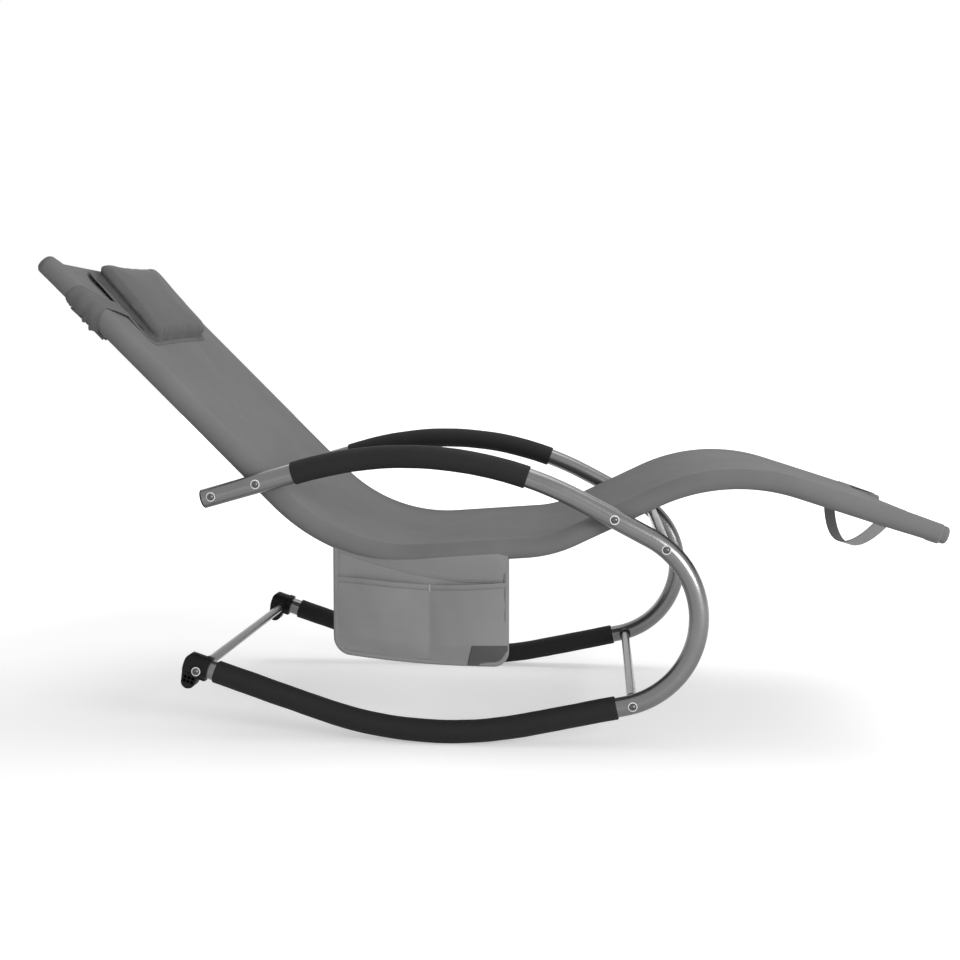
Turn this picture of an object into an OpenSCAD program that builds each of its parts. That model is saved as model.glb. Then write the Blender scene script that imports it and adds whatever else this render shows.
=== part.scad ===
// Rocking chaise lounge: two tube hoops that rock on the floor carry two bent seat rails with a
// stretched fabric sling. The head end is at -X, the foot end at +X, the sitter's right side at -Y.
// Z is zero on the floor.

/* [Hoops] */
// Outer diameter of the hoop tubes
hoop_od = 32; // [30:0.5:34]
// Wall of all the steel tubes
tube_wall = 1.2; // [1:0.1:1.6]
// Distance between the centre planes of the two hoops
hoop_spacing = 576; // [540:1:620]
// Straight length at the rear of the arm
arm_rear_len = 174; // [165:1:185]
// Rise of that straight, in degrees
arm_rear_rise = 15.9; // [14:0.1:18]
// Bend radius of the arm
arm_radius = 608; // [580:1:640]
// Straight length at the front of the arm
arm_front_len = 123; // [115:1:130]
// Fall of that straight, in degrees
arm_front_fall = 27.8; // [26:0.1:30]
// Radius of the front bend
front_radius = 147; // [140:1:155]
// Straight length of the runner before its bend
runner_front_len = 163; // [155:1:175]
// Rise of that straight towards the front, in degrees
runner_front_rise = 12.3; // [11:0.1:14]
// Bend radius of the rocking part
rocker_radius = 640; // [620:1:670]
// Straight length of the runner behind its bend, into the foot
runner_rear_len = 227; // [215:1:240]
// Rise of that straight towards the rear, in degrees
runner_rear_rise = 18.4; // [17:0.1:20]
// Length of the swaged tube ends inside the front bend
swage_len = 50; // [45:1:60]
// Clearance of the swaged ends in the front bend
swage_gap = 0.3; // [0.2:0.05:0.5]
// Thickness of the rim of the arm's end plug
plug_rim = 3; // [2:0.5:4]

/* [Foam] */
// Outer diameter of the foam sleeves on the arms and runners
foam_od = 38.4; // [37:0.2:42]
// Where the foam of the right arm starts, along the tube from its rear end
right_arm_foam_start = 154; // [140:1:170]
// Where the foam of the right arm ends
right_arm_foam_end = 542; // [500:1:560]
// Where the foam of the left arm starts
left_arm_foam_start = 137; // [130:1:170]
// Where the foam of the left arm ends
left_arm_foam_end = 559; // [500:1:570]
// Bare tube between the lower seam and the runner's foam
runner_foam_front_gap = 14; // [8:1:25]
// Bare tube between the rear foot and the foam, right side
right_foot_gap = 11; // [6:1:20]
// Bare tube between the rear foot and the foam, left side
left_foot_gap = 18; // [6:1:25]

/* [Seat frame] */
// Outer diameter of the seat rails
rail_od = 25; // [24:0.5:26]
// Gap between a hoop tube and a seat rail
side_gap = 4; // [3.5:0.1:6]
// Straight length of the back
back_len = 550; // [530:1:570]
// Slope of the back, in degrees
back_slope = 44.9; // [43:0.1:46]
// Bend radius between back and seat
lumbar_radius = 308; // [295:1:320]
// Straight length of the seat
seat_len = 169; // [160:1:180]
// Rise of the seat towards the front, in degrees
seat_rise = 4.2; // [3:0.1:6]
// Bend radius between seat and thigh rest
thigh_radius = 207; // [195:1:220]
// Straight length of the thigh rest
thigh_len = 148; // [140:1:155]
// Rise of the thigh rest, in degrees
thigh_rise = 25.8; // [24:0.1:27]
// Bend radius over the knees
knee_radius = 311; // [295:1:325]
// Straight length of the leg rest
leg_len = 236; // [225:1:250]
// Fall of the leg rest, in degrees
leg_fall = 17.7; // [16:0.1:19]
// Diameter of the spreader bars between the rails
spreader_od = 16; // [14:0.5:18]
// Place of the head spreader along the rail
head_spreader_at = 38; // [34:1:45]
// Distance of the foot spreader from the rail's foot end
foot_spreader_back = 128; // [115:1:140]

/* [Crossbars] */
// Diameter of the two upper crossbars
upper_bar_od = 19; // [18:0.5:20]
// Diameter of the two lower crossbars
lower_bar_od = 16; // [15:0.5:18]
// Wall of the crossbar cups
cup_wall = 2.5; // [2:0.1:3]
// Depth of the cups over the bar ends
cup_depth = 14; // [10:0.5:18]

/* [Fasteners] */
// Diameter of the bolts
bolt_d = 6; // [5.5:0.5:6.5]
// Clearance of the bolt holes
bolt_gap = 0.6; // [0.4:0.1:1]
// Diameter of the bolt heads
head_d = 12; // [11:0.5:13]
// Height of the bolt heads
head_h = 3.8; // [3:0.1:5]
// Diameter of the washers
washer_d = 15; // [14:0.5:16]
// Thickness of the washers
washer_h = 1.2; // [1:0.1:2]
// Place of the rearmost bolt along the arm
rear_bolt_at = 16; // [15:0.5:20]
// Place of the rear seat bolt along the arm
rear_seat_bolt_at = 93; // [88:0.5:98]
// The same bolt's place along the rail, from its head end
back_bolt_at = 510; // [500:1:520]
// Distance of the front upper bolt past the upper seam
upper_bolt_past = 30; // [24:1:36]
// Distance of the front lower bolt before the lower seam
lower_bolt_before = 12; // [10:1:20]

/* [Rear foot] */
// Outer diameter of the foot's socket
foot_od = 41; // [39:0.5:43]
// Depth of the tube's socket in the foot
foot_socket = 29; // [26:0.5:32]
// Length of the solid end behind the socket
foot_end = 12; // [9:0.5:15]
// Reach of the tail lug below the tube's centre line
lug_reach = 40; // [36:0.5:44]
// Width of the tail lug across
lug_width = 26; // [22:0.5:30]
// Radius of the tail lug's round end
lug_radius = 12; // [10:0.5:13]
// Depth of the cored cells in the lug
cell_depth = 9; // [6:0.5:11]

/* [Sling] */
// Wall of the sewn sleeves on the rails
sleeve_wall = 2.4; // [2:0.1:3]
// Wall of the thin sleeve at the foot tip
tip_sleeve_wall = 1; // [0.8:0.1:1.4]
// Thickness of the stretched sheet
sheet_h = 2; // [1.6:0.1:2.2]
// Clearance of fabric round the parts it covers
fabric_gap = 0.3; // [0.2:0.05:0.5]
// Distance of the head hem from the rail's end
head_hem = 18; // [14:1:22]
// Distance of the foot hem's corner from the rail's end
foot_hem = 62; // [55:1:70]
// How far the foot hem curves in at the middle
hem_curve = 26; // [15:1:32]

/* [Pillow] */
// Length of the pillow across the back
pillow_len = 345; // [320:1:370]
// Height of the pillow along the back
pillow_height = 169; // [155:1:180]
// Thickness of the pillow at its upper side
pillow_top_h = 47; // [40:1:55]
// Thickness of the pillow at its lower side
pillow_low_h = 35; // [28:1:40]
// Distance of the pillow from the rail's head end
pillow_at = 34; // [30:1:60]
// How far the pillow's sides are drawn in
pillow_draw = 7; // [3:0.5:10]
// Height of the band beside the pillow
band_neck = 42; // [36:1:50]
// Height of the elastic behind the back
elastic_height = 75; // [65:1:85]
// Thickness of the band
band_h = 1.4; // [1.2:0.1:1.5]
// Thickness of the gathered elastic
elastic_h = 3; // [2:0.1:4]
// Distance of the band's neck from the pillow's upper side
band_down = 56; // [50:1:64]

/* [Side bag] */
// Length of the bag along the right rail
bag_len = 289; // [260:1:300]
// Distance of the bag's rear edge behind the hoops' floor contact
bag_back = 181; // [160:1:190]
// Height of the bag's rear lower corner above the floor
bag_rear_low = 148; // [130:1:170]
// Height of the bag's front lower corner above the floor
bag_front_low = 138; // [120:1:160]
// Radius of the bag's lower corners
bag_corner = 22; // [10:1:30]
// Thickness of the bag's fabric
bag_fabric = 1.6; // [1.2:0.1:2.4]
// Depth of the pocket
pocket_depth = 12; // [9:0.5:18]
// Height of the pocket's open edge above the floor, at the middle
pocket_open = 263; // [240:1:270]
// Height of the binding between sleeve and bag
binding_h = 5; // [4:0.5:8]

/* [Leg strap] */
// Width of the webbing
strap_width = 22; // [18:1:26]
// Thickness of the webbing
strap_h = 1.8; // [1.4:0.1:2.4]
// Distance of the strap from the rail's foot end
strap_back = 99; // [92:1:105]
// How far the strap hangs down
strap_sag = 60; // [40:1:70]

/* [Hidden] */

// Finish of round faces
fine = 48;
around = 180;
// Overrun of cuts
cut = 1;
// A straight and a bend stop just short of each other, and a hair-thin fuller ring bridges them
tube_trim = 0.3;
band_trim = 0.4;
joint_lap = 0.08;
// Clearance between hard pieces that only touch
touch = 0.1;
// Clearance of the curved seats of cups and saddles
seat_gap = 0.35;

right = -1;
left = 1;
half_turn = 180;

hoop_r = hoop_od / 2;
foam_r = foam_od / 2;
rail_r = rail_od / 2;
hoop_y = hoop_spacing / 2;
rail_y = hoop_y - hoop_r - side_gap - rail_r;

// A straight is [length, 0] and a bend is [radius, turn in degrees], to the left when positive
hoop_path = [
    [arm_rear_len, 0],
    [arm_radius, -arm_rear_rise - arm_front_fall],
    [arm_front_len, 0],
    [front_radius, arm_front_fall + runner_front_rise - half_turn],
    [runner_front_len, 0],
    [rocker_radius, -runner_front_rise - runner_rear_rise],
    [runner_rear_len, 0]
];
rail_path = [
    [back_len, 0],
    [lumbar_radius, back_slope + seat_rise],
    [seat_len, 0],
    [thigh_radius, thigh_rise - seat_rise],
    [thigh_len, 0],
    [knee_radius, -thigh_rise - leg_fall],
    [leg_len, 0]
];

function seg_length(seg) = seg[1] == 0 ? seg[0] : seg[0] * abs(seg[1]) * PI / half_turn;
// Length of the first n segments of a path
function reach(path, n) = n == 0 ? 0 : reach(path, n - 1) + seg_length(path[n - 1]);
// A place is [x, z, heading]: where a point s along a segment or a path lies
function along(place, seg, s) =
    seg[1] == 0
    ? [place[0] + s * cos(place[2]), place[1] + s * sin(place[2]), place[2]]
    : let (r = sign(seg[1]) * seg[0], turn = s / r * half_turn / PI)
      [place[0] + r * (sin(place[2] + turn) - sin(place[2])),
       place[1] - r * (cos(place[2] + turn) - cos(place[2])),
       place[2] + turn];
function place_on(path, start, s, i = 0) =
    let (n = seg_length(path[i]))
    s <= n || i == len(path) - 1
    ? along(start, path[i], s)
    : place_on(path, along(start, path[i], n), s - n, i + 1);
// Where two lines cross, given a place on each
function crossing(a, b) =
    let (t = ((b[0] - a[0]) * sin(b[2]) - (b[1] - a[1]) * cos(b[2])) / sin(b[2] - a[2]))
    [a[0] + t * cos(a[2]), a[1] + t * sin(a[2]), a[2]];

upper_seam = reach(hoop_path, 3);
lower_seam = reach(hoop_path, 4);
contact_at = reach(hoop_path, 5) + rocker_radius * runner_front_rise * PI / half_turn;
hoop_end = reach(hoop_path, 7);
foot_mouth = hoop_end - foot_socket;
rail_end = reach(rail_path, 7);

// The lowest point of the runner's foam touches the floor. Places first count from there
hoop_raw = place_on(hoop_path, [0, 0, arm_rear_rise], contact_at);
hoop_from_contact = [-hoop_raw[0], foam_r - hoop_raw[1], arm_rear_rise];
back_bolt = place_on(hoop_path, hoop_from_contact, rear_seat_bolt_at);
rail_from_contact = along([back_bolt[0], back_bolt[1], -back_slope], [0, 0], -back_bolt_at);

// The fabric that closes a rail's end lies past the plug's rim, and marks the whole length
cap_h = sleeve_wall / 2;
cap_out = plug_rim + fabric_gap + cap_h;
sleeve_in = rail_r + fabric_gap;
sleeve_out = sleeve_in + sleeve_wall;
tip_out = sleeve_in + tip_sleeve_wall;
rail_tip = place_on(rail_path, rail_from_contact, rail_end);
x_low = rail_from_contact[0] - cap_out * cos(back_slope) - sleeve_out * sin(back_slope);
x_high = rail_tip[0] + cap_out * cos(leg_fall) + tip_out * sin(leg_fall);
// X of the floor contact, so that the origin lies under the middle of the whole
contact_x = -(x_low + x_high) / 2;
hoop_start = hoop_from_contact + [contact_x, 0, 0];
rail_start = rail_from_contact + [contact_x, 0, 0];

// Bolt places, each [x, z, heading of the tube]
rear_bolt = place_on(hoop_path, hoop_start, rear_bolt_at);
rear_seat_bolt = place_on(hoop_path, hoop_start, rear_seat_bolt_at);
thigh_place = place_on(rail_path, rail_start, reach(rail_path, 4) + thigh_len / 2);
front_seat_bolt = crossing(place_on(hoop_path, hoop_start, upper_seam), thigh_place);
upper_bolt = place_on(hoop_path, hoop_start, upper_seam + upper_bolt_past);
lower_bolt = place_on(hoop_path, hoop_start, lower_seam - lower_bolt_before);
foot_place = place_on(hoop_path, hoop_start, foot_mouth);
// The foot's bolt lies this far into the socket and this far below the tube's centre line
foot_bolt_in = 17;
foot_bolt_low = 6;
foot_bolt = [
    foot_place[0] + foot_bolt_in * cos(foot_place[2]) - foot_bolt_low * sin(foot_place[2]),
    foot_place[1] + foot_bolt_in * sin(foot_place[2]) + foot_bolt_low * cos(foot_place[2]),
    foot_place[2]
];
bar_bolts = [rear_bolt, upper_bolt, lower_bolt];
seat_bolts = [rear_seat_bolt, front_seat_bolt];
hole_d = bolt_d + bolt_gap;

// Draws a side piece in the plane of the seat frame or hoop at y, with local X and Y as X and Z.
// Local Z then points outwards. The left side is the mirror image
module on_side(side, y) {
    mirror([0, side == left ? 1 : 0, 0])
        translate([0, -y, 0])
        rotate([90, 0, 0])
        children();
}
module both_sides(y) {
    for (side = [right, left])
        on_side(side, y) children();
}
module at(place) {
    translate([place[0], place[1], 0]) rotate([0, 0, place[2]]) children();
}

// Section of a tube [outer radius, inner radius] or of a flat band [offset, thickness, half width],
// with the offset to the left of the path. lap makes it a little fuller
module section(shape, lap) {
    if (len(shape) == 2)
        difference() {
            circle(shape[0] + lap, $fn = fine);
            if (shape[1] > 0) circle(shape[1] - lap, $fn = fine);
        }
    else
        translate([shape[0] - shape[1] / 2 - lap, -shape[2] - lap])
            square([shape[1] + 2 * lap, 2 * (shape[2] + lap)]);
}
function trim(shape) = len(shape) == 2 ? tube_trim : band_trim;
module sweep_straight(shape, from, to, lap = 0) {
    translate([from, 0, 0]) rotate([90, 0, 90]) linear_extrude(to - from) section(shape, lap);
}
module sweep_bend(shape, seg, from, to) {
    turn_per_length = half_turn / PI / seg[0];
    mirror([0, seg[1] > 0 ? 0 : 1, 0])
        translate([0, seg[0], 0])
        rotate([0, 0, from * turn_per_length - half_turn / 2])
        rotate_extrude(angle = (to - from) * turn_per_length, $fn = around)
        translate([seg[0], 0])
        mirror([seg[1] > 0 ? 1 : 0, 0])
        section(shape, 0);
}
module move_on(seg) {
    side = sign(seg[1]);
    if (side == 0)
        translate([seg[0], 0, 0]) children();
    else
        translate([0, side * seg[0], 0])
            rotate([0, 0, seg[1]])
            translate([0, -side * seg[0], 0])
            children();
}
// Sweeps a section along part of a path. A short ring bridges each joint between two segments
module run(path, shape, from, to, i = 0) {
    n = seg_length(path[i]);
    gap = trim(shape);
    inner = i > 0 && from < -gap;
    goes_on = i + 1 < len(path) && to > n + gap;
    begin = inner ? gap : from;
    end = goes_on ? n - gap : to;
    if (begin < n - gap) {
        if (path[i][1] == 0)
            sweep_straight(shape, begin, end);
        else
            sweep_bend(shape, path[i], begin, end);
    }
    if (inner)
        sweep_straight(shape, -4 * gap, 4 * gap, joint_lap);
    if (goes_on)
        move_on(path[i]) run(path, shape, from - n, to - n, i + 1);
}
module hoop_run(shape, from, to) {
    at(hoop_start) run(hoop_path, shape, from, to);
}
module rail_run(shape, from, to) {
    at(rail_start) run(rail_path, shape, from, to);
}
// A bolt hole across a tube at each place
module holes_at(places, d, low, high) {
    for (place = places)
        at(place) translate([0, 0, low]) cylinder(d = d, h = high - low, $fn = fine);
}
module through_holes(places) {
    holes_at(places, hole_d, -foam_od, foam_od);
}

// Arm tube, with a swaged end inside the front bend
hoop_in = hoop_r - tube_wall;
swage_out = hoop_in - swage_gap;
swage_in = swage_out - tube_wall;
module arm_tube(side) {
    shoulder = upper_seam - touch;
    tip = upper_seam + swage_len;
    color("silver") on_side(side, hoop_y) difference() {
        union() {
            hoop_run([hoop_r, 0], 0, shoulder);
            hoop_run([swage_out, 0], shoulder - 2 * tube_wall, tip);
        }
        hoop_run([hoop_in, 0], -cut, shoulder - tube_wall);
        hoop_run([swage_in, 0], shoulder - 2 * tube_wall, tip + cut);
        through_holes([rear_bolt, rear_seat_bolt, front_seat_bolt, upper_bolt]);
    }
}
module right_arm_tube() { arm_tube(right); }
module left_arm_tube() { arm_tube(left); }

module front_bend(side) {
    color("silver") on_side(side, hoop_y) difference() {
        hoop_run([hoop_r, 0], upper_seam, lower_seam);
        hoop_run([hoop_in, 0], upper_seam - cut, lower_seam + cut);
        through_holes([upper_bolt, lower_bolt]);
    }
}
module right_front_bend() { front_bend(right); }
module left_front_bend() { front_bend(left); }

module runner_tube(side) {
    shoulder = lower_seam + touch;
    tip = lower_seam - swage_len;
    color("silver") on_side(side, hoop_y) difference() {
        union() {
            hoop_run([hoop_r, 0], shoulder, hoop_end);
            hoop_run([swage_out, 0], tip, shoulder + 2 * tube_wall);
        }
        hoop_run([hoop_in, 0], shoulder + tube_wall, hoop_end + cut);
        hoop_run([swage_in, 0], tip - cut, shoulder + 2 * tube_wall);
        through_holes([lower_bolt, foot_bolt]);
    }
}
module right_runner_tube() { runner_tube(right); }
module left_runner_tube() { runner_tube(left); }

// Foam sleeves
foam = [foam_r, hoop_r + fabric_gap];
module arm_foam(side, from, to) {
    color([0.12, 0.12, 0.13]) on_side(side, hoop_y) hoop_run(foam, from, to);
}
module right_arm_foam() { arm_foam(right, right_arm_foam_start, right_arm_foam_end); }
module left_arm_foam() { arm_foam(left, left_arm_foam_start, left_arm_foam_end); }
module runner_foam(side, foot_gap) {
    color([0.12, 0.12, 0.13]) on_side(side, hoop_y)
        hoop_run(foam, lower_seam + runner_foam_front_gap, foot_mouth - foot_gap);
}
module right_runner_foam() { runner_foam(right, right_foot_gap); }
module left_runner_foam() { runner_foam(left, left_foot_gap); }

// A plug with a domed rim and a ribbed stem that grips inside a tube's end, at x = 0 facing -X
plug_stem = 9;
plug_gap = 0.15;
rib_h = 1.2;
module end_plug(r) {
    rim_round = plug_rim / 2;
    inner = r - tube_wall - plug_gap;
    rotate([0, -90, 0]) {
        cylinder(r = r, h = plug_rim - rim_round, $fn = fine);
        translate([0, 0, plug_rim - rim_round])
            cylinder(r1 = r, r2 = r - rim_round, h = rim_round, $fn = fine);
        translate([0, 0, -plug_stem]) cylinder(r = inner - rib_h, h = plug_stem + rim_round, $fn = fine);
        for (i = [1:3])
            translate([0, 0, -i * plug_stem / 3]) cylinder(r = inner, h = rib_h, $fn = fine);
    }
}
module arm_plugs() {
    color([0.08, 0.08, 0.08]) both_sides(hoop_y)
        at(hoop_start) end_plug(hoop_r);
}

// Rear foot: a moulded socket with a raised lip, a barrel that closes it and a cored tail lug
lip_len = 9;
lip_step = 1.5;
lug_front = 12;
cell = 5;
cell_wall = 1.6;
foot_len = foot_socket + foot_end;
lug_taper = 3;
// The flat seats are cut this deep into the socket's sides
face_cut = 1.5;
foot_face = foot_od / 2 - lip_step - face_cut;
module foot_profile() {
    r = foot_od / 2 - lip_step;
    round_r = foot_end;
    translate([0, -r]) square([foot_len - round_r, 2 * r]);
    translate([0, round_r - r]) square([foot_len, 2 * (r - round_r)]);
    for (y = [round_r - r, r - round_r])
        translate([foot_len - round_r, y]) circle(round_r, $fn = fine);
    // The lug hangs at positive local Y, because the path heads to the rear there
    tip = [foot_len - lug_radius - lug_taper, lug_reach - lug_radius];
    polygon([
        [lug_front, r - round_r], [foot_len, r - round_r], [foot_len, r - round_r / 2],
        [tip[0] + lug_radius, tip[1]], [tip[0] - lug_radius, tip[1]], [lug_front, r]
    ]);
    translate(tip) circle(lug_radius, $fn = fine);
}
module rear_foot(side) {
    color([0.08, 0.08, 0.08]) on_side(side, hoop_y) at(foot_place) difference() {
        union() {
            rotate([0, 90, 0]) cylinder(d = foot_od, h = lip_len, $fn = fine);
            intersection() {
                translate([0, 0, -foot_od / 2]) linear_extrude(foot_od) foot_profile();
                rotate([90, 0, 90]) linear_extrude(foot_len + cut) {
                    circle(foot_od / 2 - lip_step, $fn = fine);
                    translate([0, -lug_width / 2]) square([lug_reach + cut, lug_width]);
                }
            }
        }
        translate([-cut, 0, 0]) rotate([0, 90, 0])
            cylinder(r = hoop_r + touch, h = foot_socket + touch + cut, $fn = fine);
        translate([foot_bolt_in, foot_bolt_low, -foot_od])
            cylinder(d = hole_d, h = 2 * foot_od, $fn = fine);
        // Flat seat for the washer on the outside, and for the cup on the inside
        for (z = [foot_face, -foot_face - foot_od])
            translate([foot_bolt_in, foot_bolt_low, z]) cylinder(d = cup_od(lower_bar_od) + cut, h = foot_od, $fn = fine);
        lug_cells();
    }
}
module lug_cells() {
    pitch = cell + cell_wall;
    for (i = [0:2], j = [0:1])
        translate([
            foot_len - lug_taper - lug_radius + (i - 1) * pitch - cell / 2,
            lug_reach - lug_radius - j * pitch - cell / 2,
            lug_width / 2 - cell_depth
        ])
            cube([cell, cell, cell_depth + cut]);
}
module right_rear_foot() { rear_foot(right); }
module left_rear_foot() { rear_foot(left); }

// Crossbars, their cups, inserts, bolts and washers
function cup_od(bar_od) = bar_od + 2 * (cup_wall + touch);
bar_setback = 3;
module crossbar(place, bar_od, half_len) {
    color("silver") rotate([90, 0, 0]) at(place) difference() {
        translate([0, 0, -half_len]) cylinder(d = bar_od, h = 2 * half_len, $fn = fine);
        translate([0, 0, -half_len - cut])
            cylinder(d = bar_od - 2 * tube_wall, h = 2 * (half_len + cut), $fn = fine);
    }
}
hoop_bar_half = hoop_y - hoop_r - bar_setback;
foot_bar_half = hoop_y - foot_face - bar_setback;
module rear_upper_crossbar() { crossbar(rear_bolt, upper_bar_od, hoop_bar_half); }
module front_upper_crossbar() { crossbar(upper_bolt, upper_bar_od, hoop_bar_half); }
module front_lower_crossbar() { crossbar(lower_bolt, lower_bar_od, hoop_bar_half); }
module rear_lower_crossbar() { crossbar(foot_bolt, lower_bar_od, foot_bar_half); }

// A cup holds a bar's end and sits on the hoop's inner face, in the hoop's own frame
module cup(place, bar_od, bar_half, seat_z, hollow_r) {
    low = bar_half - hoop_y - bar_setback;
    at(place) difference() {
        translate([0, 0, -(hoop_y - bar_half) - cup_depth])
            cylinder(d = cup_od(bar_od), h = hoop_y - bar_half + cup_depth - seat_z, $fn = fine);
        translate([0, 0, -(hoop_y - bar_half) - cup_depth - cut])
            cylinder(d = bar_od + 2 * touch, h = cup_depth + cut + touch, $fn = fine);
        translate([0, 0, low]) cylinder(d = hole_d, h = -low, $fn = fine);
        if (hollow_r > 0)
            translate([-bar_od, 0, 0]) rotate([0, 90, 0]) cylinder(r = hollow_r, h = 2 * bar_od, $fn = fine);
    }
}
module crossbar_cups() {
    color([0.08, 0.08, 0.08]) both_sides(hoop_y) {
        cup(rear_bolt, upper_bar_od, hoop_bar_half, 0, hoop_r + seat_gap);
        cup(upper_bolt, upper_bar_od, hoop_bar_half, 0, hoop_r + seat_gap);
        cup(lower_bolt, lower_bar_od, hoop_bar_half, 0, hoop_r + seat_gap);
        cup(foot_bolt, lower_bar_od, foot_bar_half, foot_face + touch, 0);
    }
}
insert_len = 18;
insert_bore = bolt_d + touch;
bolt_in_insert = 14;
module insert(place, bar_od, bar_half) {
    at(place) translate([0, 0, -(hoop_y - bar_half) - insert_len]) difference() {
        cylinder(d = bar_od - 2 * (tube_wall + touch), h = insert_len, $fn = fine);
        translate([0, 0, -cut]) cylinder(d = insert_bore, h = insert_len + 2 * cut, $fn = fine);
    }
}
module crossbar_inserts() {
    color("goldenrod") both_sides(hoop_y) {
        for (place = [rear_bolt, upper_bolt])
            insert(place, upper_bar_od, hoop_bar_half);
        insert(lower_bolt, lower_bar_od, hoop_bar_half);
        insert(foot_bolt, lower_bar_od, foot_bar_half);
    }
}
// Button head and shank, with the head's underside at z = 0 and a hexagon socket in it
module bolt(shank) {
    socket = bolt_d * 2 / 3;
    crown = (head_d * head_d / 4 + head_h * head_h) / (2 * head_h);
    translate([0, 0, -shank]) cylinder(d = bolt_d, h = shank + head_h / 2, $fn = fine);
    difference() {
        intersection() {
            cylinder(d = head_d, h = head_h, $fn = fine);
            translate([0, 0, head_h - crown]) sphere(crown, $fn = around);
        }
        translate([0, 0, head_h * 2 / 5]) cylinder(d = socket, h = head_h, $fn = 6);
    }
}
washer_seat = hoop_r + touch;
module crossbar_bolts() {
    shank = washer_seat + washer_h + touch + hoop_y - hoop_bar_half + bolt_in_insert;
    foot_shank = foot_face + washer_h + 2 * touch + hoop_y - foot_bar_half + bolt_in_insert;
    color("dimgray") both_sides(hoop_y) {
        for (place = bar_bolts)
            at(place) translate([0, 0, washer_seat + washer_h + touch]) bolt(shank);
        at(foot_bolt) translate([0, 0, foot_face + washer_h + 2 * touch]) bolt(foot_shank);
    }
}
// A washer hollowed underneath to sit on the round tube
module tube_washer(place) {
    at(place) difference() {
        cylinder(d = washer_d, h = washer_seat + washer_h, $fn = fine);
        translate([0, 0, -cut]) cylinder(d = hole_d, h = 2 * hoop_od, $fn = fine);
        translate([-washer_d, 0, 0]) rotate([0, 90, 0]) cylinder(r = hoop_r + seat_gap, h = 2 * washer_d, $fn = fine);
    }
}
module crossbar_washers() {
    color("white") both_sides(hoop_y) {
        for (place = bar_bolts)
            tube_washer(place);
        at(foot_bolt) translate([0, 0, foot_face + touch]) difference() {
            cylinder(d = washer_d, h = washer_h, $fn = fine);
            translate([0, 0, -cut]) cylinder(d = hole_d, h = 2 * hoop_od, $fn = fine);
        }
    }
}

// Seat rails: bent tubes with a hole for a rivet nut at each seat bolt
nut_d = 9;
nut_len = 14;
nut_top = sqrt(rail_r * rail_r - nut_d * nut_d / 4) - touch;
rail_tube = [rail_r, rail_r - tube_wall];
module seat_rail(side) {
    color("dimgray") on_side(side, rail_y) difference() {
        rail_run(rail_tube, 0, rail_end);
        holes_at(seat_bolts, nut_d + 2 * touch, 0, rail_od);
    }
}
module right_seat_rail() { seat_rail(right); }
module left_seat_rail() { seat_rail(left); }

// Spreader bars, coped to the rails and set below the sheet
spreader_low = 3;
module spreader(s) {
    color("dimgray") difference() {
        rotate([90, 0, 0]) at(place_on(rail_path, rail_start, s))
            translate([0, -spreader_low, -rail_y]) difference() {
                cylinder(d = spreader_od, h = 2 * rail_y, $fn = fine);
                translate([0, 0, -cut])
                    cylinder(d = spreader_od - 2 * tube_wall, h = 2 * (rail_y + cut), $fn = fine);
            }
        both_sides(rail_y) at(place_on(rail_path, rail_start, s))
            sweep_straight([rail_r + touch, 0], -spreader_od, spreader_od);
    }
}
foot_spreader_at = rail_end - foot_spreader_back;
module head_spreader() { spreader(head_spreader_at); }
module foot_spreader() { spreader(foot_spreader_at); }

module rail_plugs() {
    color([0.08, 0.08, 0.08]) both_sides(rail_y) {
        at(rail_start) end_plug(rail_r);
        at(place_on(rail_path, rail_start, rail_end)) mirror([1, 0, 0]) end_plug(rail_r);
    }
}

// Saddles fill the gap between a hoop and a rail, hollow on both sides
saddle_d = 23;
module rail_saddles() {
    color([0.08, 0.08, 0.08]) both_sides(hoop_y) for (i = [0, 1]) difference() {
        at(seat_bolts[i]) translate([0, 0, rail_y - hoop_y]) cylinder(d = saddle_d, h = hoop_y - rail_y, $fn = fine);
        at(seat_bolts[i]) translate([-hoop_od, 0, 0]) rotate([0, 90, 0]) cylinder(r = washer_seat, h = 2 * hoop_od, $fn = fine);
        translate([seat_bolts[i][0], seat_bolts[i][1], rail_y - hoop_y])
            rotate([0, 0, i == 0 ? -back_slope : thigh_rise])
            translate([-hoop_od, 0, 0]) rotate([0, 90, 0]) cylinder(r = rail_r + touch, h = 2 * hoop_od, $fn = fine);
        through_holes(seat_bolts);
    }
}
module rail_bolts() {
    head_z = washer_seat + washer_h + touch;
    color("dimgray") both_sides(hoop_y) for (place = seat_bolts)
        at(place) translate([0, 0, head_z]) bolt(head_z + hoop_y - rail_y - rail_r + nut_len - touch);
}
module rail_washers() {
    color("white") both_sides(hoop_y) for (place = seat_bolts)
        tube_washer(place);
}
module rail_nuts() {
    color("goldenrod") both_sides(rail_y) for (place = seat_bolts)
        at(place) translate([0, 0, nut_top - nut_len]) difference() {
            cylinder(d = nut_d, h = nut_len, $fn = fine);
            translate([0, 0, -cut]) cylinder(d = insert_bore, h = nut_len + 2 * cut, $fn = fine);
        }
}

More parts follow.
